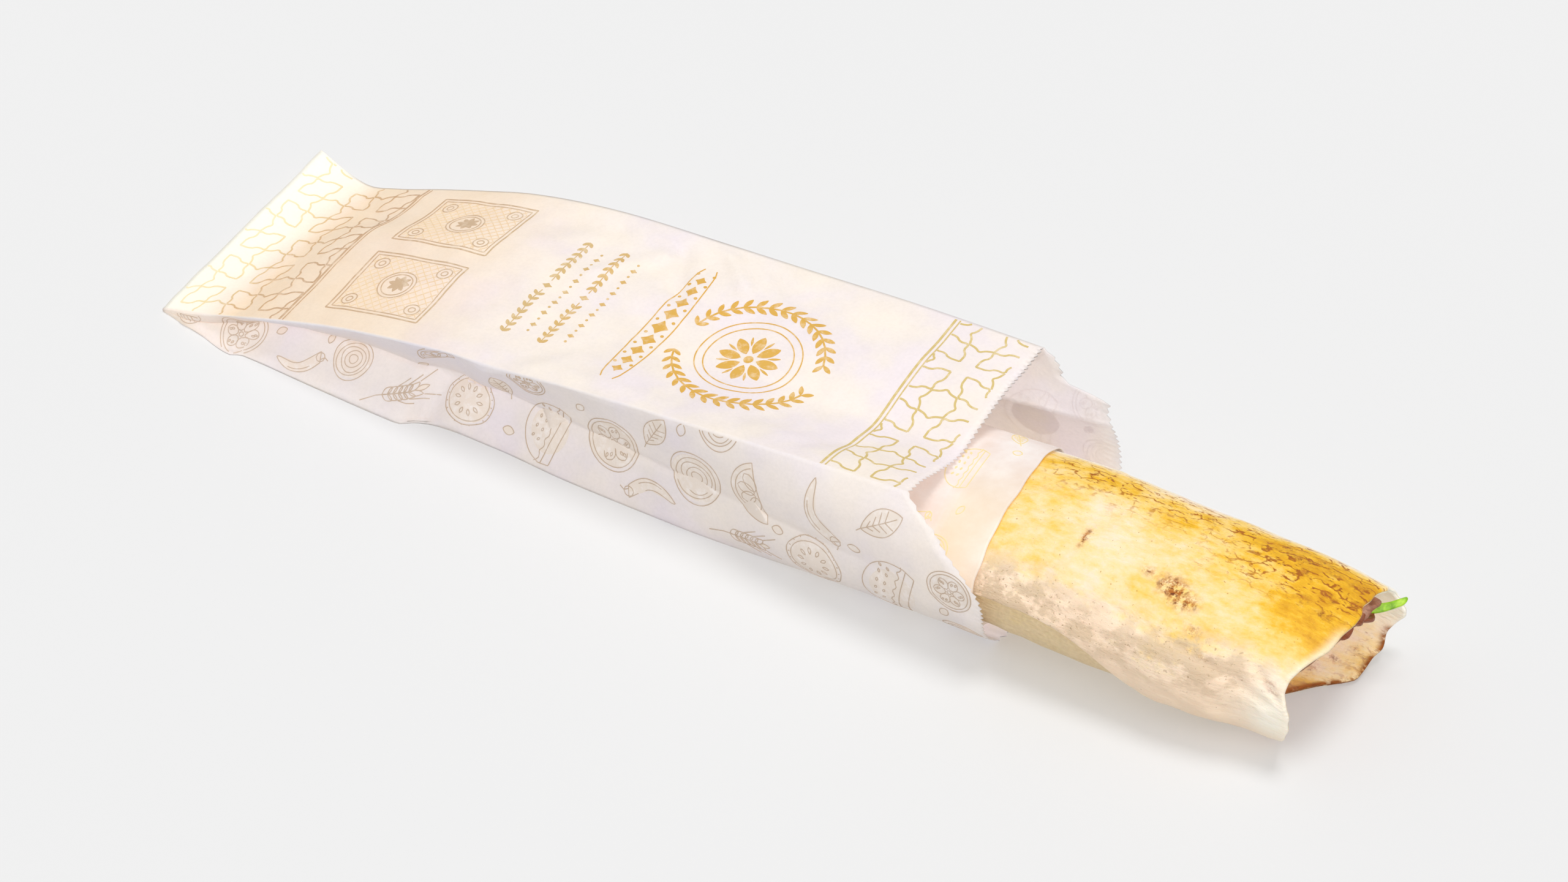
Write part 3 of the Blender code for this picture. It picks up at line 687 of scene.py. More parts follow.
# %% [markdown]
# ## A lattice of crosses
# Both ends of the top carry the old Moorish tile lattice: four-armed crosses and cog-shaped stars that
# alternate on a square grid, with a long six-cornered pod along the diagonal of each square. One side
# of a pod and the end of one arm are enough: mirroring and turning them gives every line.

# %% Piece: lattice and border lines
HALF = 0.0182  # between a cross and the next star
POD_SIDE = np.array(((3.3, 3.3), (3.3, 8.0), (5.5, 10.3), (5, 14), (8.7, 13.5), (11, 15.7), (15.7, 15.7))) / 19
ARM_END = np.array(((-5, 14), (-1.8, 13.2), (0, 11.5), (1.8, 13.2), (5, 14))) / 19
MOUTH_CROSS, BASE_CROSS = (0.2932, 0.0242), (0.0204, 0.0082)


def rounded(path, rounds=2):
    """Cuts the corners: each round replaces a corner by points a quarter of the way to its neighbours."""
    for _ in range(rounds):
        near = 0.75 * path[:-1] + 0.25 * path[1:], 0.25 * path[:-1] + 0.75 * path[1:]
        path = np.concatenate([path[:1], np.stack(near, axis=1).reshape(-1, 2)[1:-1], path[-1:]])
    return path


def lattice(cross, reach=7):
    """Lines of the lattice round a cross: for every grid point that holds a cross, its four arm ends
    and the two pods on its right, each with both sides."""
    paths = []
    for i, j in np.argwhere(np.add.outer(np.arange(2 * reach), np.arange(2 * reach)) % 2 == 0) - reach // 2 * 2:
        middle = np.array(cross) + HALF * np.array((i, j))
        for turn in range(4):
            c, s = np.cos(np.pi / 2 * turn).round(), np.sin(np.pi / 2 * turn).round()
            paths.append(middle + HALF * rounded(ARM_END, 1) @ np.array(((c, s), (-s, c))))
        for side in (POD_SIDE, POD_SIDE[:, ::-1]):
            paths += [middle + HALF * rounded(side, 1) * (1, up) for up in (1, -1)]
    return paths


def border(s):
    """Line straight across the top at distance s."""
    return [((s, -0.06), (s, 0.06))]


everywhere = within_top(0.0015, BAG_LENGTH - LIP_SETBACK - 0.002)
printed("printed_lattice", [
    strokes(on_top, lattice(MOUTH_CROSS), 0.00078, within_top(0.2802, 0.3070)),
    strokes(on_top, lattice(BASE_CROSS), 0.00070, within_top(0.0012, 0.0540)),
    strokes(on_top, border(0.0546) + border(0.2782), 0.0009, everywhere),
    strokes(on_top, border(0.0562) + border(0.2799), 0.0005, everywhere)], GOLD_INK)

# %% [markdown]
# ## Framed panels and ornament rows
# Between lattice and medallion the print has two framed squares side by side and a block of short
# lines across the bag. They are filled with plain ornament: a diaper of crossing lines round a
# rosette, and rows of leaves and lozenges.

# %% Shapes that the ornament is made of


def placed(path, at=(0, 0), turn=0.0, size=1.0):
    """Path scaled, turned by degrees and moved."""
    c, s = math.cos(math.radians(turn)), math.sin(math.radians(turn))
    return np.asarray(at) + size * np.asarray(path) @ np.array(((c, s), (-s, c)))


def ring(radius, at=(0, 0), wobble=0.0, lobes=5, span=(0, 360), points=33, squash=1.0):
    """Circle or arc whose radius wobbles as a sine, squashed across."""
    a = np.radians(np.linspace(*span, points))
    r = radius * (1 + wobble * np.sin(lobes * a))
    return np.asarray(at) + np.stack([r * np.cos(a), squash * r * np.sin(a)], axis=-1)


def petal(length, width, at=(0, 0), turn=0.0, blunt=1.0, points=9):
    """Pointed oval that starts at a point: its half width is a sine along it, to a power."""
    t = np.linspace(0, 1, points)
    half = width / 2 * np.sin(np.pi * t) ** blunt
    edge = np.stack([np.append(t, t[-2::-1]), np.append(half, -half[-2::-1])], axis=-1) * (length, 1)
    return placed(edge, at, turn)


def lozenge(length, width, at=(0, 0), turn=0.0):
    """Diamond with slightly hollow sides."""
    corner = np.array(((1, 0), (0.42, 0.42), (0, 1), (-0.42, 0.42), (-1, 0), (-0.42, -0.42), (0, -1), (0.42, -0.42),
                       (1, 0))) * (length / 2, width / 2)
    return placed(corner, at, turn)


def box_path(low, high, inset=0.0):
    """Rectangle between two corners, moved inwards."""
    (a, b), (c, d) = np.asarray(low) + inset, np.asarray(high) - inset
    return np.array(((a, b), (c, b), (c, d), (a, d), (a, b)))


print("a leaf outline has", len(petal(1, 1)), "points")

# %% Piece: framed panels
PANELS = (((0.0687, -0.0380), (0.1087, -0.0050)), ((0.0686, 0.0036), (0.1100, 0.0380)))
DIAPER = 0.0036


def diaper(low, high):
    """Two sets of parallel diagonals, each clipped to the panel and kept off the rosette and corners."""
    (a, b), (c, d) = low, high
    paths = []
    for offset in np.arange(a - d, c - b, DIAPER):
        paths.append([(max(a, offset + b), max(b, a - offset)), (min(c, offset + d), min(d, c - offset))])
        flip = b + d
        paths.append([(s, flip - t) for s, t in paths[-1]])
    return paths


panel_lines, diaper_lines, rosette_lines, panel_dots, calm = [], [], [], [], []
for low, high in PANELS:
    middle = (np.array(low) + high) / 2
    panel_lines += [box_path(low, high)]
    rosette_lines += [box_path(low, high, 0.0016), ring(0.0072, middle), ring(0.0058, middle)]
    diaper_lines += diaper(np.array(low) + 0.0022, np.array(high) - 0.0022)
    calm.append((middle, 0.0072))
    panel_dots += [petal(0.0046, 0.0021, middle + 0.0006, turn) for turn in range(0, 360, 45)]
    for corner in box_path(low, high, 0.0062)[:4]:
        rosette_lines += [ring(0.0029, corner, points=19), ring(0.0013, corner, points=13)]
        calm.append((corner, 0.0029))


def off_rosettes(s, t):
    """Everything outside the circles that are kept calm."""
    clear = [np.hypot(s - at[0], t - at[1]) > radius for at, radius in calm]
    return np.logical_and.reduce(clear)


printed("printed_panels", [
    strokes(on_top, panel_lines, 0.00060, everywhere),
    strokes(on_top, rosette_lines, 0.00042, everywhere),
    fields(on_top, panel_dots, everywhere)], GOLD_INK)
printed("printed_diaper", [strokes(on_top, diaper_lines, 0.00032, off_rosettes)], FAINT_GOLD_INK)

# %% Piece: ornament rows
ROWS = ((0.1400, -0.0300, 0.0270), (0.1478, -0.0255, 0.0225), (0.1556, -0.0300, 0.0270), (0.1634, -0.0255, 0.0225))


def leaf_row(s, low, high):
    """Stem with a pair of leaves every 3.6 mm and a lozenge in the middle."""
    middle = (low + high) / 2
    leaves = []
    for t in np.arange(low, middle - 0.004, 0.0036):
        for t_here, way in ((t, 1), (low + high - t, -1)):
            leaves += [petal(0.0034, 0.0015, (s, t_here), turn) for turn in (90 * way - 38, 90 * way + 38)]
    return [((s, low), (s, middle - 0.003)), ((s, middle + 0.003), (s, high))], leaves + [
        lozenge(0.0042, 0.0030, (s, middle))]


def bead_row(s, low, high):
    """Lozenges and dots in turn."""
    spots = np.arange(low, high, 0.0034)
    return [lozenge(0.0030, 0.0024, (s, t)) if i % 2 else ring(0.00055, (s, t), points=9)
            for i, t in enumerate(spots)]


row_lines, row_fields = [], []
for index, row in enumerate(ROWS):
    lines, leaves = leaf_row(*row) if index % 2 == 0 else ([], bead_row(*row))
    row_lines += lines
    row_fields += leaves
printed("printed_ornament_rows", [strokes(on_top, row_lines, 0.00036, everywhere),
                                  fields(on_top, row_fields, everywhere)], GOLD_INK)

# %% [markdown]
# ## The medallion
# The middle of the top is a laurel ring, the oldest of trade ornaments, round an eight-petalled
# rosette, with a divider of lozenges beside it. Both are printed solid, so they are fields of ink with
# thin lines between them.

# %% Piece: medallion and divider
RING_AT, RING_RADIUS = np.array((0.2240, -0.0030)), 0.0265
DIVIDER_S = 0.1880


def laurel():
    """Two branches that rise from the divider's side and meet opposite: a pair of leaves every ten
    degrees along the ring, larger towards the middle of a branch."""
    leaves, stems = [], []
    for way in (1, -1):
        turns = np.radians(np.arange(16, 171, 9.8))
        for step, turn in enumerate(turns):
            size = 0.0046 + 0.0011 * np.sin(np.pi * step / len(turns))
            at = RING_AT + RING_RADIUS * np.array((-np.cos(turn), way * np.sin(turn)))
            heading = np.degrees(np.arctan2(way * np.cos(turn), np.sin(turn)))
            leaves += [petal(size, 0.37 * size, at, heading + lean, 0.85) for lean in (-42, 42)]
        stems.append(RING_AT + RING_RADIUS * np.stack([-np.cos(turns), way * np.sin(turns)], axis=-1))
    return stems, leaves


def rosette():
    """Eight broad petals, eight thin ones between them, and a middle."""
    petals = [petal(0.0088, 0.0042, placed((0.0030, 0), RING_AT, turn), turn, 0.75) for turn in range(0, 360, 45)]
    petals += [petal(0.0050, 0.0010, placed((0.0066, 0), RING_AT, turn), turn) for turn in range(22, 360, 45)]
    return petals + [ring(0.0018, RING_AT, points=17)]


def divider():
    """Chain of broad lozenges across the bag that shrink towards both ends, with a bead in each gap."""
    fields_of_ink = []
    for step in range(-4, 5):
        size = 1 - 0.09 * abs(step)
        at = (DIVIDER_S, 0.0078 * step * (1 - 0.03 * abs(step)) - 0.003)
        fields_of_ink.append(lozenge(0.0070 * size, 0.0074 * size, at))
        fields_of_ink += [ring(0.0007, (DIVIDER_S + way * 0.0033, at[1] + 0.0037), points=11) for way in (1, -1)]
    return fields_of_ink


laurel_stems, laurel_leaves = laurel()
thin_rings = [ring(0.0188, RING_AT, points=73), ring(0.0066 + 0.0092, RING_AT, points=61)]
across = np.linspace(-1, 1, 25)
frame_lines = [np.stack([DIVIDER_S + way * (0.0024 + 0.0028 * (1 - across**2) ** 0.5), 0.0345 * across - 0.003], -1)
               for way in (1, -1)]
printed("printed_medallion", [
    strokes(on_top, laurel_stems, 0.0007, everywhere),
    strokes(on_top, thin_rings + frame_lines, 0.00045, everywhere),
    fields(on_top, laurel_leaves + rosette() + divider(), everywhere)], GOLD_INK)

# %% [markdown]
# ## Sketches down the sides
# Each side is strewn with sketches of what goes into a wrap: slices of tomato, onion and cucumber,
# peppers, leaves, wheat, a bun and a wedge, with drops between them. Each is drawn in a unit square,
# as lines and one pale field behind them, then scaled, turned and laid onto the paper. A sketch that
# meets a fold is cut off there, as in a print that runs over the edge.

# %% Sketches


def spokes(count, inner, outer):
    """Short lines that point away from the middle."""
    return [placed(((inner, 0), (outer, 0)), turn=360 / count * k) for k in range(count)]


def tomato():
    chambers = [petal(0.56, 0.44, placed((0.16, 0), turn=t), t, 0.5) for t in range(0, 360, 60)]
    seeds = [petal(0.15, 0.08, placed((0.40 + 0.1 * (k % 2), 0.07 * (k % 3 - 1)), turn=60 * (k // 2)), 60 * (k // 2))
             for k in range(12)]
    return [ring(1, wobble=0.02, lobes=3), ring(0.86, wobble=0.02, lobes=3), ring(0.10, points=9), *chambers, *seeds]


def cucumber():
    seeds = [petal(0.24, 0.11, placed((0.34, 0), turn=t), t) for t in range(0, 360, 36)]
    return [ring(1, wobble=0.015, lobes=7, squash=0.9), ring(0.84, squash=0.9), *seeds, *spokes(20, 0.89, 0.94)]


def onion():
    return [ring(1, wobble=0.04, lobes=3), ring(0.80, wobble=0.05, lobes=2), ring(0.62, (0.04, 0), 0.05, 3),
            ring(0.42, (0.05, 0.02), 0.06, 2), ring(0.22, (0.05, 0.02), 0.05, 3)]


def leaf():
    veins = [((t, 0), (t + 0.26, side * (0.40 - 0.30 * abs(t)))) for t in (-0.7, -0.4, -0.1, 0.2) for side in (1, -1)]
    return [petal(2, 1.0, (-1, 0), 0, 0.8, 17), ((-1.25, -0.04), (-1, 0), (0.75, 0)), *veins]


def pepper():
    t = np.linspace(0, 1, 15)
    bend = 0.45 * np.sin(np.pi * t)
    half = 0.24 * np.sqrt(1 - t**2) * (1 + 0.12 * np.sin(9 * t))
    edge = np.stack([np.append(2 * t - 1, (2 * t - 1)[::-1]), np.append(bend + half, (bend - half)[::-1])], axis=-1)
    shine = np.stack([2 * t[3:11] - 1, (bend + 0.4 * half)[3:11]], axis=-1)
    return [np.append(edge, edge[:1], axis=0), shine, ((-1, 0.10), (-1.2, 0.02), (-1.35, 0.16)), ring(0.2, (-1, 0), points=9)]


def wheat():
    grains = [petal(0.46, 0.22, (t, 0), side * 32) for t in np.arange(-0.35, 0.75, 0.2) for side in (1, -1)]
    beards = [((t + 0.4, side * 0.26), (t + 0.9, side * 0.48)) for t in (-0.15, 0.25, 0.65) for side in (1, -1)]
    return [petal(0.4, 0.2, (0.85, 0)), *grains, *beards, ((-1.2, -0.12), (-0.6, 0), (0.85, 0))]


def bun():
    dome = ring(1, squash=0.82, span=(0, 180), points=21)
    base = np.array(((1, 0), (1.02, -0.12), (0.9, -0.46), (-0.9, -0.46), (-1.02, -0.12), (-1, 0)))
    ruffle = np.stack([np.linspace(-1.05, 1.05, 25), 0.02 - 0.10 * np.abs(np.sin(np.linspace(0, 18, 25)))], axis=-1)
    seeds = [petal(0.12, 0.06, (a, b), 60 * a) for a in (-0.5, -0.2, 0.1, 0.4, 0.65) for b in (0.22, 0.44)]
    return [np.concatenate([dome, base[::-1][:1]]), base, ruffle, *seeds, ((-0.98, -0.2), (0.98, -0.2))]


def wedge():
    rind = ring(1, span=(0, 180), points=21)
    flesh = [petal(0.62, 0.40, placed((0.12, 0.06), turn=t - 20), t, 0.45) for t in (25, 65, 105, 145)]
    return [rind, ring(0.84, span=(4, 176), points=19), ((-1, 0), (1, 0)), *flesh]


def drop():
    return [petal(2, 1.3, (-1, 0), 0, 0.7, 13)]


SKETCHES = {"tomato": (tomato, 0.97), "cucumber": (cucumber, 0.9), "onion": (onion, 0.97), "leaf": (leaf, 0),
            "pepper": (pepper, 0), "wheat": (wheat, 0), "bun": (bun, 0.7), "wedge": (wedge, 0), "drop": (drop, 0)}
# Sketch, distance from the base, height up the paper, size in mm, and turn in degrees
STREWN = (("leaf", 13, 4.5, 6, 15), ("tomato", 36, 9, 9, 0), ("drop", 50, 14.5, 2.2, 40),
          ("pepper", 62, 8, 9, 200), ("drop", 71, 19, 2, 90), ("onion", 83, 15, 8, 0),
          ("wheat", 104, 9, 10.5, 25), ("drop", 112, 25, 2.4, 20), ("cucumber", 133, 13, 10, 0),
          ("leaf", 147, 28, 7.5, 100), ("drop", 151, 8, 2.4, 0), ("bun", 168, 15, 12.5, 75),
          ("drop", 182, 33, 2.4, 50), ("tomato", 195, 22, 11, 20), ("pepper", 214, 8, 10, 10),
          ("leaf", 214, 36, 8.5, 60), ("onion", 231, 24, 10.5, 0), ("drop", 225, 42, 2.6, 80),
          ("wheat", 250, 8.5, 10.5, 8), ("wedge", 258, 31, 11.5, 110), ("drop", 266, 20, 2.3, 0),
          ("cucumber", 281, 14, 11, 0), ("pepper", 284, 38, 11, 120), ("drop", 297, 30, 2.5, 0),
          ("bun", 312, 18, 14, 80), ("leaf", 306, 45, 8.5, 35), ("tomato", 334, 32, 8.5, 10),
          ("drop", 332, 20, 2.5, 60), ("onion", 337, 8, 7.5, 0), ("wedge", 122, 34, 8, 20),
          ("tomato", 161, 38, 7.5, 0), ("onion", 239, 48, 8, 0))


def strewn(chart, where, inside, facing=1):
    """Lines and pale fields of every sketch of a list, laid onto one chart."""
    lines, patches = [], []
    for kind, s, t, size, turn in where:
        draw, disc = SKETCHES[kind]
        size = size / 1000
        drawn = [placed(path, (s / 1000, t / 1000), turn, size) for path in draw()]
        lines += drawn
        patches.append(placed(ring(disc, squash=0.9), (s / 1000, t / 1000), turn, size) if disc else drawn[0])
    fine = strokes(chart, lines, 0.00034, inside, facing)
    return fine, patches


def clear_patches(patches, inside):
    """Patches that lie wholly on the paper."""
    return [p for p in patches if inside(np.asarray(p)[:, 0], np.asarray(p)[:, 1]).all()]


SIDES = ((on_near_side, within_side(NEAR_LOWER, NEAR_UPPER), 1), (on_far_side, within_side(FAR_LOWER, FAR_UPPER), -1))
side_lines, side_patches = [], []
for chart, inside, facing in SIDES:
    fine, patches = strewn(chart, STREWN, inside, facing)
    side_lines.append(fine)
    side_patches.append(fields(chart, clear_patches(patches, inside), inside, facing, 0.45 * LIFT))
printed("printed_sketches", side_lines, BROWN_INK)
printed("printed_sketch_fills", side_patches, PALE_INK)

# %% [markdown]
# ## The roll
# Everything inside the bag follows one shape: the pressed roll, a squarish oval whose width, height
# and middle change slowly along it. The bread is a sheet wound round that oval one and a quarter
# times, so each turn that lies under another is sunk by a bread's thickness. Liner, bread and filling
# are all functions of a distance along the roll, an angle round it, and a depth under its surface.

# %% The roll as a function of its position
ROLL_START, ROLL_END = 0.186, 0.456
ROLL_STATIONS = (0.186, 0.230, 0.278, 0.312, 0.341, 0.385, 0.430, 0.464)
FAR_HALF = (0.0270, 0.0310, 0.0350, 0.0370, 0.0383, 0.0382, 0.0375, 0.0350)
NEAR_HALF = ((0.186, 0.230, 0.278, 0.312, 0.341, 0.385, 0.424, 0.437, 0.447, 0.464),
             (0.0270, 0.0310, 0.0350, 0.0370, 0.0383, 0.0382, 0.0376, 0.0348, 0.0350, 0.0345))
HALF_HEIGHT = (0.0140, 0.0156, 0.0171, 0.0180, 0.0198, 0.0212, 0.0206, 0.0176)
CENTRE_Y = (-0.0040, -0.0080, -0.0130, -0.0165, -0.0182, -0.0180, -0.0170, -0.0145)
BOTTOM_Z = ((0.186, 0.346, 0.384, 0.412, 0.464), (0.0024, 0.0024, -0.00019, -0.00069, -0.00129))
SQUARENESS = 2.4
SEAM_ANGLE = ((0.186, 0.352, 0.378, 0.408, 0.436, 0.464), (165, 165, 173, 213, 226, 238))
SHOULDER = 125
TUCKED_END = -300
END_CUT = ((-300, -200, -165, -110, -100, -90, -80, -70, -50, -30, -20, -8, 0, 12, 25, 40, 60, 90, 110, 125,
            140, 150, 165, 185, 205, 240),
           (0.4470, 0.4390, 0.4345, 0.4350, 0.4380, 0.4430, 0.4490, 0.4550, 0.4575, 0.4580, 0.4595, 0.4618,
            0.4620, 0.4598, 0.4578, 0.4563, 0.4558, 0.4555, 0.4540, 0.4505, 0.4478, 0.4480, 0.4500, 0.4508,
            0.4500, 0.4450))
LAYER = 0.0026  # a bread's thickness and the gap to the next turn
MM_PER_DEGREE = 0.00053  # along the roll's outline


def oval(x, angle, depth):
    """Point of the roll: |y/a|^n + |z/b|^n = 1, with half width a and half height b less the depth.
    Angle 0 is the far side, 90 the top, 180 the near side and 270 the bottom."""
    turn = np.radians(angle)
    near = np.abs(angle % 360 - 180) < 90
    a = np.where(near, along(x, *NEAR_HALF), along(x, ROLL_STATIONS, FAR_HALF)) - depth
    b = along(x, ROLL_STATIONS, HALF_HEIGHT) - depth
    cos, sin = np.cos(turn), np.sin(turn)
    size = (np.abs(cos) ** SQUARENESS + np.abs(sin) ** SQUARENESS) ** (-1 / SQUARENESS)
    y = along(x, ROLL_STATIONS, CENTRE_Y) + a * cos * size
    return np.stack([x + 0 * y, y, along(x, *BOTTOM_Z) + depth + b + b * sin * size], axis=-1)


def outwards(x, angle, depth):
    """Unit vector from a depth under the surface to the surface."""
    way = oval(x, angle, depth) - oval(x, angle, depth + 0.001)
    return way / np.linalg.norm(way, axis=-1, keepdims=True)


print("roll width, mm", round(float(along(0.385, ROLL_STATIONS, FAR_HALF) + along(0.385, *NEAR_HALF)) * 1000, 1))

# %% [markdown]
# ## The bread's surface
# Thin wheat flatbread starts pale and floury. Where it was pressed on the hot plate it turns golden,
# then amber, and its blisters scorch brown in dots, dashes and a net of fine lines. Which part was
# pressed belongs to the shape, so it is painted on the mesh as layers of smooth bells; the blotches,
# the net and the pin spots inside those layers are noise at the size of real blisters.

# %% Finish: griddled wheat flatbread


def bread_finish():
    """Pale crumb to brown by a toast level: the mesh's layer plus blotches. Lines of the net, scorched
    specks, grey blisters, painted shade and a paler inner face of painted light are laid over it, and the toasted parts
    shine a little more."""
    material, tree, shader = new_finish("griddled_wheat_flatbread", IOR=1.45, Specular_IOR_Level=0.3,
                                        Subsurface_Weight=0.25, Subsurface_Radius=(0.003, 0.002, 0.0014),
                                        Subsurface_Scale=1.0)
    place = add(tree, "TexCoord").outputs["Object"]
    unrolled = add(tree, "Attribute", attribute_name="unrolled").outputs["Vector"]
    layer = {n: add(tree, "Attribute", attribute_name=n).outputs["Fac"]
             for n in ("toast", "net", "scorch", "ash_and_painted_shade", "under", "pale_crumb_and_painted_light", "rim")}

    def noise(scale, detail, at=place, rough=0.55):
        return add(tree, "TexNoise", {"Vector": at, "Scale": scale, "Detail": detail, "Roughness": rough})

    def maths(how, first, second, clamp=False):
        return add(tree, "Math", {0: first, 1: second}, operation=how, use_clamp=clamp).outputs[0]

    def between(value, low, high):
        return add(tree, "MapRange", {"Value": value, "From Min": low, "From Max": high}).outputs[0]

    stretched = add(tree, "Mapping", {"Vector": unrolled, "Scale": (1.0, 2.1, 1.0)}).outputs["Vector"]
    dashed = add(tree, "Mapping", {"Vector": unrolled, "Scale": (0.6, 1.9, 1.0)}).outputs["Vector"]
    broad = noise(38, 3).outputs["Fac"]  # blotches of 26 mm
    blotch = noise(150, 4, stretched, 0.6).outputs["Fac"]  # 7 mm along the roll
    grain = noise(700, 3).outputs["Fac"]  # 1.4 mm crumb
    level = maths("MULTIPLY_ADD", maths("SUBTRACT", broad, 0.5), 0.90)
    tree.links.new(layer["toast"], level.node.inputs[2])
    fine = maths("MULTIPLY_ADD", maths("SUBTRACT", blotch, 0.5), 0.80)
    tree.links.new(level, fine.node.inputs[2])
    crumb = maths("MULTIPLY_ADD", maths("SUBTRACT", grain, 0.5), 0.22)
    tree.links.new(fine, crumb.node.inputs[2])
    colour = add(tree, "ValToRGB", {"Fac": crumb},
                 [(0.0, "#f7e6d2"), (1.0, "#d89c12"), (0.20, "#f8e2c0"), (0.42, "#f8d99e"), (0.62, "#f6cd6c"),
                  (0.80, "#edb826")]).outputs["Color"]
    flesh = blended(tree, blotch, "#fae3c9", "#f3d5b8")
    colour = blended(tree, between(crumb, 0.30, 0.05), colour, flesh)
    # Net of browned lines: the edges of stretched cells whose places a noise bends, broken into dashes
    warp = add(tree, "VectorMath", {0: noise(150, 3, unrolled).outputs["Color"], "Scale": 0.009}, operation="SCALE")
    bent = add(tree, "VectorMath", {0: stretched, 1: warp.outputs[0]}, operation="ADD").outputs[0]
    cells = add(tree, "TexVoronoi", {"Vector": bent, "Scale": 165}, feature="DISTANCE_TO_EDGE").outputs["Distance"]
    wire = between(cells, 0.095, 0.03)
    broken = between(noise(260, 2, dashed).outputs["Fac"], 0.47, 0.56)
    lines = maths("MULTIPLY", maths("MULTIPLY", wire, broken), layer["net"], True)
    colour = blended(tree, lines, colour, blended(tree, blotch, "#8c4208", "#bd7416"))
    dark = maths("MULTIPLY", between(noise(420, 4, dashed, 0.65).outputs["Fac"], 0.60, 0.67), layer["net"], True)
    colour = blended(tree, dark, colour, "#8a400a")
    # Scorched spots: ragged by noise, darkest in the middle
    ragged = maths("MULTIPLY", between(noise(430, 5, unrolled, 0.7).outputs["Fac"], 0.42, 0.56), layer["scorch"], True)
    colour = blended(tree, ragged, colour, "#b0661c")
    core = maths("MULTIPLY", between(noise(620, 3, unrolled, 0.6).outputs["Fac"], 0.50, 0.60), ragged, True)
    colour = blended(tree, core, colour, "#6b300c")
    # Pin spots all over, grey floury blisters low on the near side with some painted shade among them, and painted
    # shade on the turn under the seam
    pins = between(noise(950, 1, unrolled).outputs["Fac"], 0.735, 0.765)
    colour = blended(tree, maths("MULTIPLY", pins, 0.6), colour, "#9a6a2c")
    ashy = maths("MULTIPLY", between(noise(120, 4, unrolled, 0.6).outputs["Fac"], 0.42, 0.56), layer["ash_and_painted_shade"], True)
    colour = blended(tree, maths("MULTIPLY", ashy, 0.75), colour, "#d2bb9c")
    pores = maths("MULTIPLY", between(noise(640, 3, unrolled, 0.7).outputs["Fac"], 0.60, 0.68), layer["ash_and_painted_shade"], True)
    colour = blended(tree, maths("MULTIPLY", pores, 0.75), colour, "#ad9270")
    # Painted shade: the turn under the seam is painted a darker, duller tan.
    colour = blended(tree, layer["under"], colour, blended(tree, grain, "#c4ab7c", "#ead5ac"))
    # Pale floury crumb, and on the inner face also painted light.
    colour = blended(tree, layer["pale_crumb_and_painted_light"], colour, blended(tree, blotch, "#fffaf0", "#fdf1dc"))
    rim = maths("MULTIPLY", layer["rim"], between(blotch, 0.34, 0.5), True)
    colour = blended(tree, rim, colour, blended(tree, grain, "#5e2a0c", "#b3641a"))
    tree.links.new(colour, shader.inputs["Base Color"])
    tree.links.new(add(tree, "MapRange", {"Value": crumb, "To Min": 0.78, "To Max": 0.48}).outputs[0],
                   shader.inputs["Roughness"])
    blisters = noise(230, 5, stretched, 0.6).outputs["Fac"]
    soft = add(tree, "Bump", {"Strength": 0.75, "Distance": 0.0009, "Height": blisters})
    rough = add(tree, "Bump", {"Strength": 0.4, "Distance": 0.0002, "Height": grain, "Normal": soft.outputs[0]})
    tree.links.new(rough.outputs[0], shader.inputs["Normal"])
    return material


BREAD_CRUST = bread_finish()
print("finish:", BREAD_CRUST.name)

# %% [markdown]
# ## The wound sheet
# The sheet starts at a free seam on the near side, goes over the top, down the far side, under the
# roll and up again inside itself. Near the open end the seam wanders down and the outer corner hangs
# free. The end was torn by hand, so its edge wanders too. A sheet of bread has round edges: close to
# an edge its two faces close in on each other along a quarter circle.

# %% Piece: the bread
BREAD = 0.0019
UPRIGHT_X = 0.425
UPRIGHT_PART = 0.6
FRONT = 0.16
TORN_DEPTH = 0.0011
# Folds pinched into the bread: from and to, as (distance from the base, angle), then width and depth
FOLDS = (((0.386, 137), (0.412, 143), 0.0016, 0.0009), ((0.412, 143), (0.424, 148), 0.0018, 0.0012),
         ((0.424, 148), (0.445, 166), 0.0026, 0.0011), ((0.352, 150), (0.392, 158), 0.0030, 0.0006),
         ((0.436, 140), (0.447, 158), 0.0016, 0.0010), ((0.400, 92), (0.430, 84), 0.0022, 0.0004),
         ((0.345, 96), (0.372, 90), 0.0040, 0.0005), ((0.405, 172), (0.432, 196), 0.0040, -0.0007))


def sheet_angle(x, way):
    """Angle at a way along the sheet, from the wandering seam (0) over the shoulder to the tucked end (1)."""
    seam = along(x, *SEAM_ANGLE)
    before = seam + way / FRONT * (SHOULDER - seam)
    after = SHOULDER + (way - FRONT) / (1 - FRONT) * (TUCKED_END - SHOULDER)
    return np.where(way < FRONT, before, after)


def sheet_depth(x, angle):
    """Sinks by one layer, in a smooth step, once the sheet has passed under its own seam."""
    return LAYER * ease((along(x, *SEAM_ANGLE) - 250 - angle) / 100)


def sheet_place(way, share):
    """Distance and angle for a point of the sheet: rows are upright up to the open end, and the last
    ones follow its torn edge, a smooth line plus fine noise, found by four rounds of substitution."""
    upright = ROLL_START + share / UPRIGHT_PART * (UPRIGHT_X - ROLL_START)
    end = np.full_like(upright, ROLL_END)
    for _ in range(4):
        stretched = UPRIGHT_X + (share - UPRIGHT_PART) / (1 - UPRIGHT_PART) * (end - UPRIGHT_X)
        x = np.where(share < UPRIGHT_PART, upright, stretched)
        angle = sheet_angle(x, way)
        torn = layered(np.stack([0 * angle, angle * MM_PER_DEGREE, 0 * angle], axis=-1), 0.0075, 61, 2)
        end = along(angle, *END_CUT) + TORN_DEPTH * np.minimum(torn, 0.8)
    return x, sheet_angle(x, way), end - x


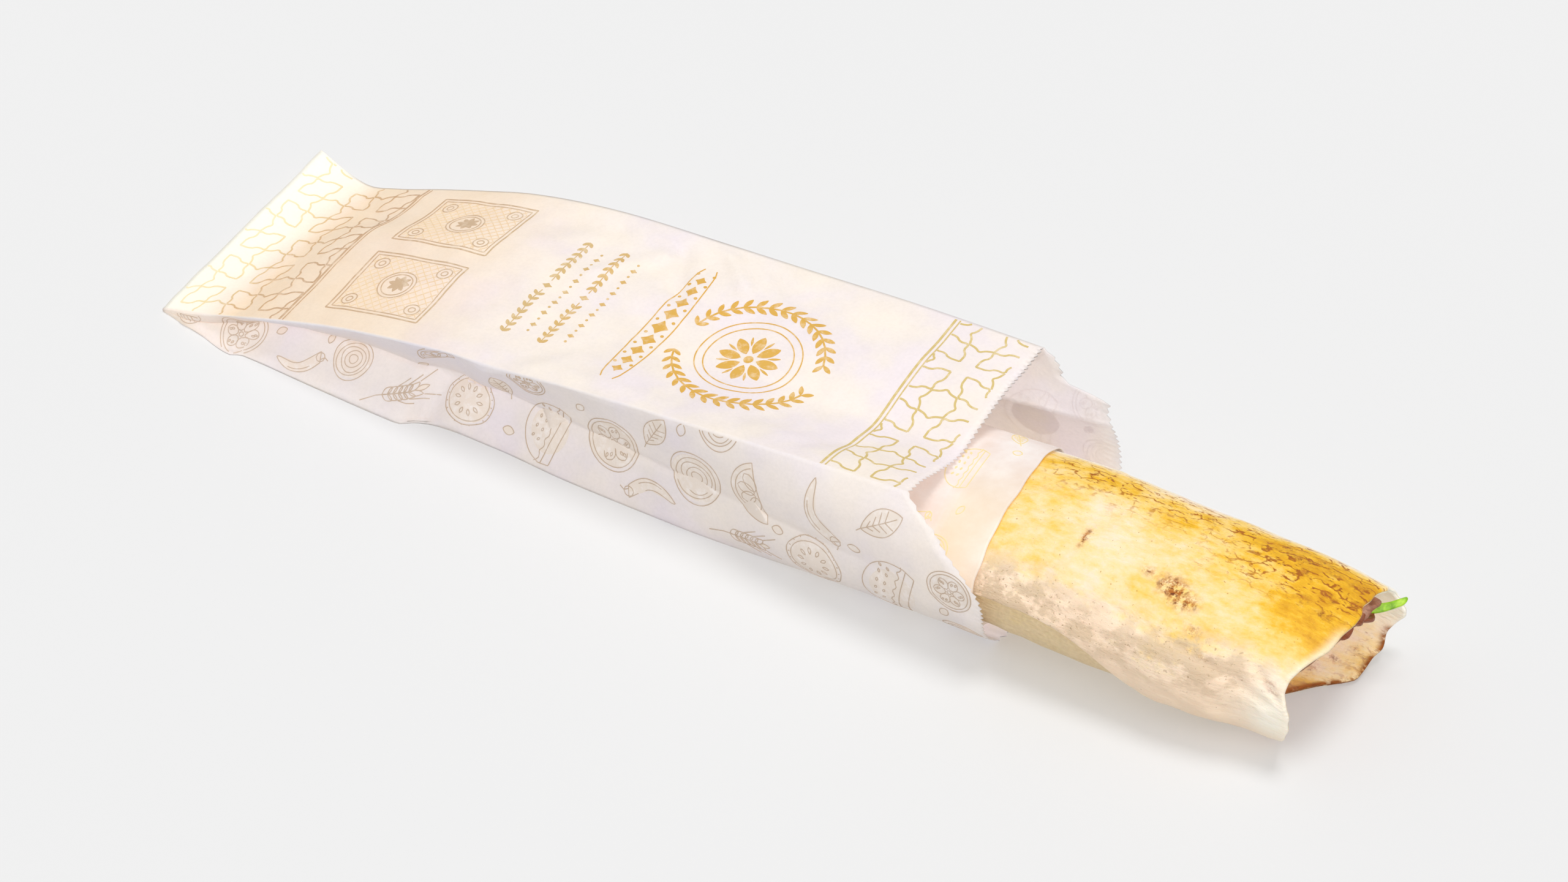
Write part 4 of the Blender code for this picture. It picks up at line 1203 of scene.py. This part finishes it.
def blister(x, angle, points):
    """Height of the bread over its smooth shape: soft hills, round blisters, and the pinched folds,
    held flat where the liner lies on it."""
    free = 0.45 + 0.55 * ease((x - 0.335) / 0.02)
    hills = 0.00060 * layered(points, 0.022, 31, 3)
    round_ones = 0.00035 * ease((cloud(points, 0.0075, 41) - 0.25) / 0.5)
    height = free * (hills + round_ones)
    for start, end, width, depth in FOLDS:
        ends = [(a, b * MM_PER_DEGREE) for a, b in (start, end)]
        height = height - depth * near_line(x, angle * MM_PER_DEGREE, *ends, width)
    return height


def spot(x, angle, at_x, at_angle, long, wide):
    """Bell on the unrolled sheet, with its half length along the roll and half width round it."""
    return bump(np.hypot((x - at_x) / long, (angle - at_angle) * MM_PER_DEGREE / wide))


def bread_tones(x, angle, to_end, inside):
    """Layers that the crust's finish reads, each a sum of smooth steps and bells on the unrolled sheet."""
    top = ease((angle - 28) / 30) * ease((150 - angle) / 26)
    toast = top * (0.27 + 0.22 * ease((x - 0.375) / 0.06)) + 0.12 * ease((175 - angle) / 30)
    toast = toast + 0.17 * ease((x - 0.395) / 0.03) * bump((angle - 68) / 28)
    toast = toast + 0.20 * bump((angle - 58) / 12) * ease((x - 0.33) / 0.02) + 0.13 * bump((x - 0.338) / 0.008) * top
    for at in ((0.372, 66, 0.020, 0.005, 0.14), (0.389, 72, 0.010, 0.006, 0.16), (0.408, 96, 0.013, 0.004, 0.12),
               (0.436, 100, 0.010, 0.006, 0.14), (0.447, 112, 0.006, 0.006, 0.22), (0.352, 82, 0.010, 0.006, 0.10),
               (0.388, 118, 0.014, 0.004, 0.06), (0.366, 108, 0.006, 0.003, 0.12)):
        toast = toast + at[4] * spot(x, angle, *at[:4])
    net = 1.0 * ease((x - 0.394) / 0.03) * ease((104 - angle) / 26) * ease((angle - 26) / 12)
    net = np.maximum(net, 1.0 * bump((angle - 57) / 17) * ease((x - 0.334) / 0.012))
    net = np.maximum(net, 0.9 * near_line(x, angle * MM_PER_DEGREE, (0.403, 93 * MM_PER_DEGREE),
                                          (0.432, 84 * MM_PER_DEGREE), 0.0013))
    scorch = 1.5 * spot(x, angle, 0.4005, 112.5, 0.0042, 0.0026) + 1.5 * spot(x, angle, 0.4065, 118, 0.0040, 0.0020)
    scorch = scorch + 0.9 * spot(x, angle, 0.391, 109, 0.002, 0.001) + 1.1 * spot(x, angle, 0.3665, 104, 0.0010, 0.0030)
    for at_x, at_angle in ((0.4235, 55), (0.4335, 70), (0.4415, 60), (0.445, 80), (0.4385, 88), (0.4500, 62),
                           (0.4465, 92), (0.4140, 132), (0.4195, 145), (0.4425, 147), (0.4440, 152), (0.398, 58),
                           (0.4300, 62), (0.4360, 54), (0.4520, 75)):
        scorch = scorch + 0.9 * spot(x, angle, at_x, at_angle, 0.0022, 0.0012)
    ash_and_painted_shade = 1.0 * bump((angle - 158) / 20) * ease((x - 0.325) / 0.012) * (1 - 0.5 * ease((x - 0.43) / 0.01))
    # The second bell, low on the near side by the mouth, is painted shade in a crumpled corner.
    ash_and_painted_shade = ash_and_painted_shade + 0.7 * spot(x, angle, 0.424, 141, 0.022, 0.006) + 1.1 * spot(x, angle, 0.352, 158, 0.020, 0.012)
    below = angle + 360 - along(x, *SEAM_ANGLE)  # degrees past the seam, on the turn that lies under it
    # Painted shade on the turn under the seam, darkest just below the seam's edge.
    under = ease((below + 4) / 4) * ease((110 - below) / 30) * (0.78 + 0.22 * bump(below / 6))
    pale_crumb_and_painted_light = 0.6 * bump(to_end / 0.0022) * ease((angle - 88) / 20) * ease((146 - angle) / 10)
    pale_crumb_and_painted_light = np.maximum(pale_crumb_and_painted_light, 0.95 * spot(x, angle, 0.446, 178, 0.010, 0.018))
    pale_crumb_and_painted_light = np.maximum(pale_crumb_and_painted_light, 0.9 * ease((46 - angle) / 12) * ease((angle + 60) / 20))
    rim = bump((to_end - 0.0002) / 0.0014) * ease((angle + 104) / 8) * ease((-20 - angle) / 8)
    if inside:
        # Painted light: the inner face gets less toast and a pale layer, standing in for light through the thin sheet;
        # the browned lip and its spots are the bread's own colour.
        lip = bump(to_end / 0.007) * ease((-25 - angle) / 20) * ease((angle + 112) / 12)
        toast = 0.20 + 0.05 * top + 0.24 * lip
        net, ash_and_painted_shade, under = 0.05 + 0.5 * lip, 0.10 + 0 * x, 0 * x
        pale_crumb_and_painted_light = 0.15 + 0.75 * ease((angle + 40) / 40) * ease((70 - angle) / 30)
        scorch = 0.9 * spot(x, angle, 0.446, -62, 0.002, 0.0012) + 0.9 * spot(x, angle, 0.442, -74, 0.0016, 0.0016)
        scorch = scorch + 0.9 * spot(x, angle, 0.4505, -50, 0.0012, 0.0010)
    toast = toast + 0.75 * spot(x, angle, 0.4405, -95, 0.0052, 0.0075)
    scorch = scorch + 0.9 * spot(x, angle, 0.4385, -97, 0.0045, 0.0040)
    return {"toast": toast, "net": net, "scorch": np.minimum(scorch, 1), "ash_and_painted_shade": ash_and_painted_shade, "under": under, "pale_crumb_and_painted_light": pale_crumb_and_painted_light,
            "rim": rim}


def bread():
    """Outer and inner face of the sheet, rounded at the edges, joined along all four of them."""
    hidden = np.linspace(0, (0.330 - ROLL_START) / (UPRIGHT_X - ROLL_START) * UPRIGHT_PART, 34)[:-1]
    shown = np.linspace(hidden[-1] + 0.012, UPRIGHT_PART, 104)[:-1]
    share = np.concatenate([hidden, shown, np.linspace(UPRIGHT_PART, 0.984, 36), (0.989, 0.994, 0.998, 1)])
    way = np.concatenate([(0, 0.0008, 0.0022, 0.0045), np.linspace(0.008, FRONT, 34)[:-1],
                          np.linspace(FRONT, 1, 190)])
    share, way = np.meshgrid(share, way, indexing="ij")
    x, angle, to_end = sheet_place(way, share)
    depth = sheet_depth(x, angle)
    radius = BREAD / 2
    to_seam = way / FRONT * (along(x, *SEAM_ANGLE) - SHOULDER) * MM_PER_DEGREE
    edge = np.clip(1 - np.minimum(to_end, to_seam) / radius, 0, 1)
    closing = 0.86 * radius * (1 - np.sqrt(1 - edge**2))
    base = oval(x, angle, depth)
    lifted = outwards(x, angle, depth) * blister(x, angle, base)[..., None]
    outer = oval(x, angle, depth + closing) + lifted
    inner = oval(x, angle, depth + BREAD - closing) + lifted
    rows, columns = outer.shape[:2]
    shift = rows * columns
    first, last = np.arange(columns - 1), (rows - 1) * columns + np.arange(columns - 1)
    left, right = columns * np.arange(rows - 1), columns * np.arange(rows - 1) + columns - 1
    sides = [np.stack([first + 1, first, first + shift, first + 1 + shift], axis=-1),
             np.stack([last, last + 1, last + 1 + shift, last + shift], axis=-1),
             np.stack([left, left + columns, left + columns + shift, left + shift], axis=-1),
             np.stack([right + columns, right, right + shift, right + columns + shift], axis=-1)]
    faces = [*grid_faces(rows, columns)[:, ::-1], *grid_faces(rows, columns, first=shift),
             *np.concatenate(sides)[:, ::-1]]
    points = np.concatenate([outer.reshape(-1, 3), inner.reshape(-1, 3)]) + TO_FRAME
    points[:, 2] = np.maximum(points[:, 2], 0)  # where it lies on the table, it lies flat
    tones = [bread_tones(x, angle, to_end, inside) for inside in (False, True)]
    layers = {title: np.concatenate([tones[0][title], tones[1][title]]) for title in tones[0]}
    roll = make_piece("griddled_bread", points, faces, BREAD_CRUST, layers=layers)
    unrolled = np.stack([x, angle * MM_PER_DEGREE, 0 * x], axis=-1)
    layer = roll.data.attributes.new("unrolled", "FLOAT_VECTOR", "POINT")
    layer.data.foreach_set("vector", np.concatenate([unrolled, unrolled + (0, 0, 0.03)]).astype(np.float32).ravel())
    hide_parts("flatbread")
    return roll


ROLL = bread()

# %% [markdown]
# ## The liner
# Greaseproof paper is cellulose beaten until it is dense and glassy: thin, cream, faintly see-through,
# with a soft gloss and small crackles where it was creased. It goes once round the roll, right up
# against the bread, and stops short of the open end. It carries the same kind of sketches in the
# palest yellow, with a bare margin at its edge.

# %% Finish: greaseproof paper


def liner_finish():
    """Cream clouds, a warmer painted shade from the mesh's layer, tiny fibres, and crackled creases in the bump."""
    material, tree, shader = new_finish("greaseproof_paper", IOR=1.5, Specular_IOR_Level=0.4)
    place = add(tree, "TexCoord").outputs["Object"]
    clouds = add(tree, "TexNoise", {"Vector": place, "Scale": 70, "Detail": 4, "Roughness": 0.6})  # 14 mm
    shade = add(tree, "Attribute", attribute_name="shade").outputs["Fac"]
    colour = add(tree, "ValToRGB", {"Fac": clouds.outputs["Fac"]},
                 [(0.34, "#ead9cf"), (0.66, "#f3ebe6"), (0.5, "#eee1da")]).outputs["Color"]
    colour = blended(tree, shade, colour, blended(tree, clouds.outputs["Fac"], "#ecd3a6", "#f3e0c4"))
    tree.links.new(colour, shader.inputs["Base Color"])
    gloss = add(tree, "MapRange", {"Value": clouds.outputs["Fac"], "To Min": 0.34, "To Max": 0.58})
    tree.links.new(gloss.outputs[0], shader.inputs["Roughness"])
    crackle = add(tree, "TexNoise", {"Vector": place, "Scale": 190, "Detail": 5, "Roughness": 0.65})  # 5 mm
    bump_node = add(tree, "Bump", {"Strength": 0.35, "Distance": 0.0005, "Height": crackle.outputs["Fac"]})
    tree.links.new(bump_node.outputs["Normal"], shader.inputs["Normal"])
    return material


LINER_PAPER = liner_finish()
print("finish:", LINER_PAPER.name)

# %% Piece: the liner
LINER_START, LINER_END = 0.188, 0.3385
LINER_OUT, LINER_IN = -0.00115, -0.00088  # depths of its two faces: it stands outside the roll


def liner_edge(angle):
    """Distance of the liner's open edge: a little aslant, and softly scalloped."""
    turn = np.radians(angle)
    return LINER_END + 0.0033 * np.cos(turn - np.radians(190)) - 0.00035 * (1 + np.sin(11 * turn) * np.sin(4 * turn + 1))


def liner_point(x, angle, depth):
    """Point of the liner: the roll's surface, pushed out, with wrinkles along the roll near the edge."""
    base = oval(x, angle, depth)
    wrinkle = 0.00014 * layered(base * (0.35, 1, 1), 0.008, 61, 2) * ease((x - 0.30) / 0.02)
    return base + outwards(x, angle, depth) * wrinkle[..., None]


def liner():
    """Two faces of the sleeve, joined at both of its ends."""
    share = np.concatenate([np.linspace(0, 0.75, 30)[:-1], np.linspace(0.75, 1, 40)])[:, None]
    angle = np.linspace(0, 360, 220, endpoint=False)[None]
    x = LINER_START + share * (liner_edge(angle) - LINER_START)
    angle = angle + 0 * x
    rows, columns = x.shape
    shift = rows * columns
    faces = [*grid_faces(rows, columns, True)[:, ::-1], *grid_faces(rows, columns, True, shift)]
    j = np.arange(columns)
    k, last = (j + 1) % columns, (rows - 1) * columns
    faces += [*np.stack([last + k, last + j, last + j + shift, last + k + shift], axis=-1),
              *np.stack([j, k, k + shift, j + shift], axis=-1)]
    points = np.concatenate([liner_point(x, angle, d).reshape(-1, 3) for d in (LINER_OUT, LINER_IN)]) + TO_FRAME
    # Painted shade: warmer, darker paper where the bag's lip covers the liner.
    tone = 0.6 * ease((0.318 - x) / 0.018) * ease((x - 0.27) / 0.02) * ease((angle - 60) / 60)
    sleeve = make_piece("greaseproof_liner", points, faces, LINER_PAPER, layers={"shade": np.tile(tone, 2)})
    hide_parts("liner_paper")
    return sleeve


liner()

# %% Piece: the liner's sketches
LINER_INK = ink_finish("pale_yellow_printing_ink", [(0.0, "#efd79a"), (1.0, "#f0dca4"), (0.5, "#efd99e")], "#f8ecd0")
ON_LINER = (("bun", 316, 2, 8.5, 95), ("pepper", 303, 20, 6.5, 60), ("leaf", 322, 24, 5.5, 120), ("drop", 327, 14, 1.8, 0),
            ("pepper", 309, -17, 6.0, 170), ("onion", 322, -28, 5.5, 0), ("drop", 324, -13, 1.7, 70),
            ("wheat", 309, -39, 7, 120), ("leaf", 323, -47, 5.5, 30), ("wedge", 322, 42, 6, 0), ("tomato", 306, 55, 6, 0),
            ("drop", 327, 62, 1.8, 0), ("onion", 322, 78, 6, 0))


def on_liner(s, t):
    """Point of the liner at distance s, t along the paper from the top towards the far side."""
    return liner_point(s, (90 - t / MM_PER_DEGREE) % 360, LINER_OUT)


def within_liner(s, t):
    """The printed part, which stops short of the open edge."""
    return (s > 0.24) & (s < liner_edge(90 - t / MM_PER_DEGREE) - 0.0055)


printed("liner_sketches", [strewn(on_liner, ON_LINER, within_liner)[0]], LINER_INK)

# %% [markdown]
# ## The meat
# Meat shaved from a spit comes off in thin slices, brown and crisp on one side, grey-pink inside, and
# glossy with fat. Packed into the bread they make a lumpy core, with a few loose, wavy slices at its end.

# %% Finish: spit-roast meat


def meat_finish():
    """Brown fibres and pinker flesh, dark crisp edges, and gloss that comes and goes with the fat."""
    material, tree, shader = new_finish("spit_roast_meat", IOR=1.42, Specular_IOR_Level=0.5)
    place = add(tree, "TexCoord").outputs["Object"]
    edge = add(tree, "Attribute", attribute_name="edge").outputs["Fac"]
    patches = add(tree, "TexNoise", {"Vector": place, "Scale": 240, "Detail": 4, "Roughness": 0.6})  # 4 mm
    drawn_out = add(tree, "Mapping", {"Vector": place, "Scale": (0.3, 1, 1)}).outputs["Vector"]
    fibres = add(tree, "TexNoise", {"Vector": drawn_out, "Scale": 1500, "Detail": 4, "Roughness": 0.65})
    colour = add(tree, "ValToRGB", {"Fac": patches.outputs["Fac"]},
                 [(0.30, "#9a6650"), (0.70, "#eecbb6"), (0.44, "#b98a72"), (0.56, "#d6aa93")]).outputs["Color"]
    strand = add(tree, "ValToRGB", {"Fac": fibres.outputs["Fac"]}, [(0.35, 0.72), (0.6, 1.0)]).outputs["Color"]
    colour = blended(tree, 1.0, colour, strand, "MULTIPLY")
    colour = blended(tree, edge, colour, blended(tree, fibres.outputs["Fac"], "#6e3620", "#a45c34"))
    tree.links.new(colour, shader.inputs["Base Color"])
    gloss = add(tree, "MapRange", {"Value": patches.outputs["Fac"], "To Min": 0.28, "To Max": 0.62})
    tree.links.new(gloss.outputs[0], shader.inputs["Roughness"])
    grain = add(tree, "Bump", {"Strength": 0.6, "Distance": 0.0004, "Height": fibres.outputs["Fac"]})
    tree.links.new(grain.outputs["Normal"], shader.inputs["Normal"])
    return material


ROAST_MEAT = meat_finish()
print("finish:", ROAST_MEAT.name)

# %% Piece: the core of meat
MEAT_START, MEAT_END = 0.193, 0.4495


def meat_core():
    """Lumpy tube that keeps clear of the outer turn of bread and of the tucked one, rounded off at its
    two ends: the depth is the bread's, plus the gap, plus noise at the size of a shred."""
    angle = np.linspace(-180, 180, 150, endpoint=False)[None]
    end = MEAT_END - 0.008 * (1 - np.cos(np.radians(angle)))
    share = np.concatenate([np.linspace(0, 0.7, 60)[:-1], np.linspace(0.7, 1, 80)])[:, None]
    x = MEAT_START + share * (end - MEAT_START)
    angle = angle + 0 * x
    turned_in = ease((angle - 28) / 22) + ease((-120 - angle) / 30) * (angle < -90)
    depth = sheet_depth(x, angle) + 0.0036 + 0.0026 * np.minimum(turned_in, 1)
    depth = depth + 0.0040 * ease(np.abs(2 * share - 1) * 6 - 5)
    spot = oval(x, angle, depth)
    depth = depth + 0.0011 * (1 + layered(spot, 0.008, 71, 3, True))
    points = np.concatenate([oval(x, angle, depth).reshape(-1, 3), [[MEAT_START, -0.005, 0.017]],
                             [[0.4455, -0.010, 0.021]]]) + TO_FRAME
    rows, columns = x.shape
    j = np.arange(columns)
    k, last, tip = (j + 1) % columns, (rows - 1) * columns, rows * columns
    faces = [*grid_faces(rows, columns, True)[:, ::-1], *np.stack([j, k, tip + 0 * j], -1),
             *np.stack([last + k, last + j, tip + 1 + 0 * j], -1)]
    brown = np.append(0.5 * ease(layered(spot, 0.012, 81, 2) * 1.5), (0.5, 0.5))
    core = make_piece("meat_core", points, faces, ROAST_MEAT, layers={"edge": brown})
    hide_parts("meat_filling")
    return core


meat_core()

# %% Piece: slices at the open end
# Start, tip, width, thickness, tilt in degrees, and how brown: pink flesh 0 to crisp brown 1. Partly painted light: the
# top slice is the palest, a painted highlight, and the slice under it dark, painted shade.
SLICES = (((0.4370, -0.0010, 0.0242), (0.4566, 0.0060, 0.0276), 0.0112, 0.0034, 24, 0.00),
          ((0.4370, 0.0000, 0.0205), (0.4560, 0.0050, 0.0225), 0.0110, 0.0030, 6, 0.70),
          ((0.4340, -0.0070, 0.0225), (0.4548, -0.0010, 0.0252), 0.0105, 0.0028, -8, 0.45),
          ((0.4320, -0.0130, 0.0205), (0.4530, -0.0070, 0.0234), 0.0105, 0.0028, -12, 0.85),
          ((0.4300, -0.0185, 0.0160), (0.4440, -0.0145, 0.0170), 0.0090, 0.0024, -26, 0.60),
          ((0.4380, 0.0060, 0.0190), (0.4515, 0.0120, 0.0200), 0.0080, 0.0022, 30, 0.35))


def meat_slice(start, tip, width, thickness, tilt, brown, seed):
    """Flat closed tube from start to tip: an oval section, wavy across, that narrows towards the tip,
    torn there, and roughened by noise. Its rim is marked as the crisp edge."""
    s = np.linspace(0, 1, 40)[:, None]
    turn = np.linspace(0, 2 * np.pi, 44, endpoint=False)[None]
    narrow = 0.15 + 0.85 * np.sqrt(np.clip(1 - np.maximum(s - 0.62, 0) ** 2 / 0.145, 0, 1))
    narrow = narrow * (0.2 + 0.8 * ease(s / 0.15))
    across = width / 2 * narrow * np.sign(np.cos(turn)) * np.abs(np.cos(turn)) ** 0.8
    wave = 0.0011 * np.sin(across * 700 + 3 * s + seed) + 0.0008 * np.sin(6 * s + seed)
    through = thickness / 2 * narrow**0.5 * np.sin(turn) * (0.55 + 0.45 * np.sin(turn) ** 2) + wave
    way = np.array(start) + (np.array(tip) - start) * s
    lean = math.radians(tilt)
    x = way[:, :1] + 0.0012 * narrow * np.sin(across * 900 + 2 * seed) * s
    y = way[:, 1:2] + across * math.cos(lean) - through * math.sin(lean)
    z = way[:, 2:] + across * math.sin(lean) + through * math.cos(lean)
    points = np.stack([x, y, z], axis=-1)
    middle = way[:, None]
    rough = 1 + 0.10 * layered(points, 0.0030, 90 + seed, 2) + 0.06 * cloud(points, 0.0012, 95 + seed)
    points = middle + (points - middle) * rough[..., None]
    rim = np.abs(np.cos(turn)) ** 6 + ease((s - 0.9) / 0.1)
    tone = brown + 0.5 * cloud(points, 0.0035, 99 + seed) + 0.4 * rim
    return points, np.clip(tone, 0, 1)


def slices():
    """All the slices as one piece, each with a fan at both ends."""
    points, tones, faces, first = [], [], [], 0
    for seed, row in enumerate(SLICES):
        grid, tone = meat_slice(*row, seed)
        rows, columns = tone.shape
        j = first + np.arange(columns)
        k, last = first + (np.arange(columns) + 1) % columns, (rows - 1) * columns
        ends = first + rows * columns
        faces += [*grid_faces(rows, columns, True, first)[:, ::-1], *np.stack([j, k, ends + 0 * j], -1),
                  *np.stack([last + k, last + j, ends + 1 + 0 * j], -1)]
        points += [grid.reshape(-1, 3), grid[0].mean(axis=0)[None], grid[-1].mean(axis=0)[None]]
        tones += [tone.ravel(), [0.5, 0.9]]
        first += rows * columns + 2
    return make_piece("meat_slices", np.concatenate(points) + TO_FRAME, faces, ROAST_MEAT,
                      layers={"edge": np.concatenate(tones)})


slices()

# %% [markdown]
# ## The green pepper
# Sweet pepper, cut in strips: a wet, glossy green skin on one side and paler flesh on the other, which
# shows along the cut edges. Only its tip looks out; the strip runs on into the filling.

# %% Finish: green pepper


def pepper_finish():
    """Green skin with lighter streaks, pale flesh by the mesh's layer, a wet gloss."""
    material, tree, shader = new_finish("green_sweet_pepper", IOR=1.4, Specular_IOR_Level=0.55, Roughness=0.3)
    place = add(tree, "TexCoord").outputs["Object"]
    flesh = add(tree, "Attribute", attribute_name="flesh").outputs["Fac"]
    streaks = add(tree, "TexNoise", {"Vector": place, "Scale": 380, "Detail": 3})  # 2.6 mm
    skin = add(tree, "ValToRGB", {"Fac": streaks.outputs["Fac"]},
               [(0.35, "#6f9f14"), (0.65, "#b4dc3c"), (0.5, "#8fc323")]).outputs["Color"]
    colour = blended(tree, flesh, skin, blended(tree, streaks.outputs["Fac"], "#c8dc7a", "#dfeaa6"))
    tree.links.new(colour, shader.inputs["Base Color"])
    dimples = add(tree, "Bump", {"Strength": 0.3, "Distance": 0.0002, "Height": streaks.outputs["Fac"]})
    tree.links.new(dimples.outputs["Normal"], shader.inputs["Normal"])
    return material


# %% Piece: the pepper strip
PEPPER_BASE, PEPPER_TIP = np.array((0.4480, 0.0030, 0.0212)), np.array((0.4632, 0.0147, 0.0262))


def pepper_strip():
    """Strip with rounded corners, |a|^4 + |b|^4 = 1 across, that bends twice, narrows towards its tip,
    and has a groove along the flesh side. Its sections stay upright, so that the tip keeps its place."""
    s = np.concatenate([np.linspace(0, 0.93, 34)[:-1], 1 - 0.07 * np.linspace(1, 0, 9) ** 2])[:, None]
    turn = np.linspace(0, 2 * np.pi, 40, endpoint=False)[None]
    cos, sin = np.cos(turn), np.sin(turn)
    size = (np.abs(cos) ** 4 + np.abs(sin) ** 4) ** -0.25
    blunt = np.sqrt(np.clip(1 - ((s - 0.93) / 0.07).clip(0) ** 2 * 0.96, 0, 1)) * (1 - 0.25 * s)
    across = 0.0021 * cos * size * blunt
    through = 0.00088 * sin * size * blunt * (1 - 0.25 * bump(cos / 0.4) * (sin < 0))
    through = through + 0.0005 * np.sin(7 * s) * (across / 0.002) * (1 - s)
    lean = math.radians(35)
    way = PEPPER_BASE + (PEPPER_TIP - PEPPER_BASE) * s
    y = way[:, 1:2] + 0.0009 * np.sin(5.5 * s) * (1 - s) + across * math.cos(lean) - through * math.sin(lean)
    z = way[:, 2:] + 0.0010 * np.sin(6.5 * s) * (1 - s) + across * math.sin(lean) + through * math.cos(lean)
    grid = np.stack([way[:, :1] + 0 * across, y, z], axis=-1)
    rows, columns = grid.shape[:2]
    j = np.arange(columns)
    k, last, ends = (j + 1) % columns, (rows - 1) * columns, rows * columns
    faces = [*grid_faces(rows, columns, True)[:, ::-1], *np.stack([j, k, ends + 0 * j], -1),
             *np.stack([last + k, last + j, ends + 1 + 0 * j], -1)]
    points = np.concatenate([grid.reshape(-1, 3), grid[:1].mean(axis=1), grid[-1:].mean(axis=1)]) + TO_FRAME
    flesh = ease((-sin - 0.2) / 0.3) + 0 * s
    strip = make_piece("green_pepper_strip", points, faces, pepper_finish(),
                       layers={"flesh": np.append(flesh, (0.5, 0.5))})
    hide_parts("pepper_strip")
    return strip


pepper_strip()

# %% [markdown]
# ## Floor, light and camera
# The wrap lies on a seamless pale studio floor. A soft key lamp high above, a little behind, lays a
# short soft shadow towards the viewer. A broad fill from the viewer's side opens the shadows: it
# casts none itself, as a whole wall of white card would. The camera looks down over the near long
# side with a long lens, so that little converges.

# %% Floor
FLOOR_SIZE = 12.0


def floor_finish():
    """Matt off-white studio paper: two near whites in very soft clouds."""
    material, tree, shader = new_finish("studio_backdrop_paper", Roughness=0.95, Specular_IOR_Level=0.1)
    place = add(tree, "TexCoord").outputs["Object"]
    clouds = add(tree, "TexNoise", {"Vector": place, "Scale": 3, "Detail": 1})
    colour = blended(tree, clouds.outputs["Fac"], "#dddddd", "#dedede")
    tree.links.new(colour, shader.inputs["Base Color"])
    return material


corner = FLOOR_SIZE / 2
floor_mesh = bpy.data.meshes.new("studio_floor")
floor_mesh.from_pydata([(-corner, -corner, 0), (corner, -corner, 0), (corner, corner, 0), (-corner, corner, 0)],
                       [], [(0, 1, 2, 3)])
floor_mesh.materials.append(floor_finish())
floor = bpy.data.objects.new("studio_floor", floor_mesh)
bpy.context.scene.collection.objects.link(floor)
print("floor of", FLOOR_SIZE, "m")

# %% Soft light
AMBIENT = 0.42
LAMPS = {"soft_key": (1.05, 24, Vector((-0.03, 0.25, 1.0)), True),
         "card_fill": (1.70, 60, Vector((0.30, -0.43, 0.85)), False)}

world = bpy.data.worlds.new("white_tent")
world.use_nodes = True
world.node_tree.nodes["Background"].inputs["Color"].default_value = (1, 1, 1, 1)
world.node_tree.nodes["Background"].inputs["Strength"].default_value = AMBIENT
bpy.context.scene.world = world
for title, (strength, softness, way, shadow) in LAMPS.items():
    lamp = bpy.data.lights.new(title, "SUN")
    lamp.energy, lamp.angle, lamp.use_shadow = strength, math.radians(softness), shadow
    holder = bpy.data.objects.new(title, lamp)
    holder.rotation_euler = way.to_track_quat("Z", "Y").to_euler()
    bpy.context.scene.collection.objects.link(holder)
    print(title, "from", tuple(round(c, 2) for c in way.normalized()))
bpy.context.scene.view_settings.view_transform = "Standard"

# %% Camera
AZIMUTH = math.radians(30.6)
ELEVATION = math.radians(40.9)
DISTANCE = 1.303
AIM = Vector((0.0015, 0.00995, 0))
LENS_MM = 85

lens = bpy.data.cameras.new("camera")
lens.lens = LENS_MM
lens.sensor_width = 36
camera = bpy.data.objects.new("camera", lens)
back = Vector((math.sin(AZIMUTH) * math.cos(ELEVATION), -math.cos(AZIMUTH) * math.cos(ELEVATION),
               math.sin(ELEVATION)))
camera.location = AIM + DISTANCE * back
camera.rotation_euler = back.to_track_quat("Z", "Y").to_euler()
bpy.context.scene.collection.objects.link(camera)
bpy.context.scene.camera = camera
print("camera at", tuple(round(c, 3) for c in camera.location))
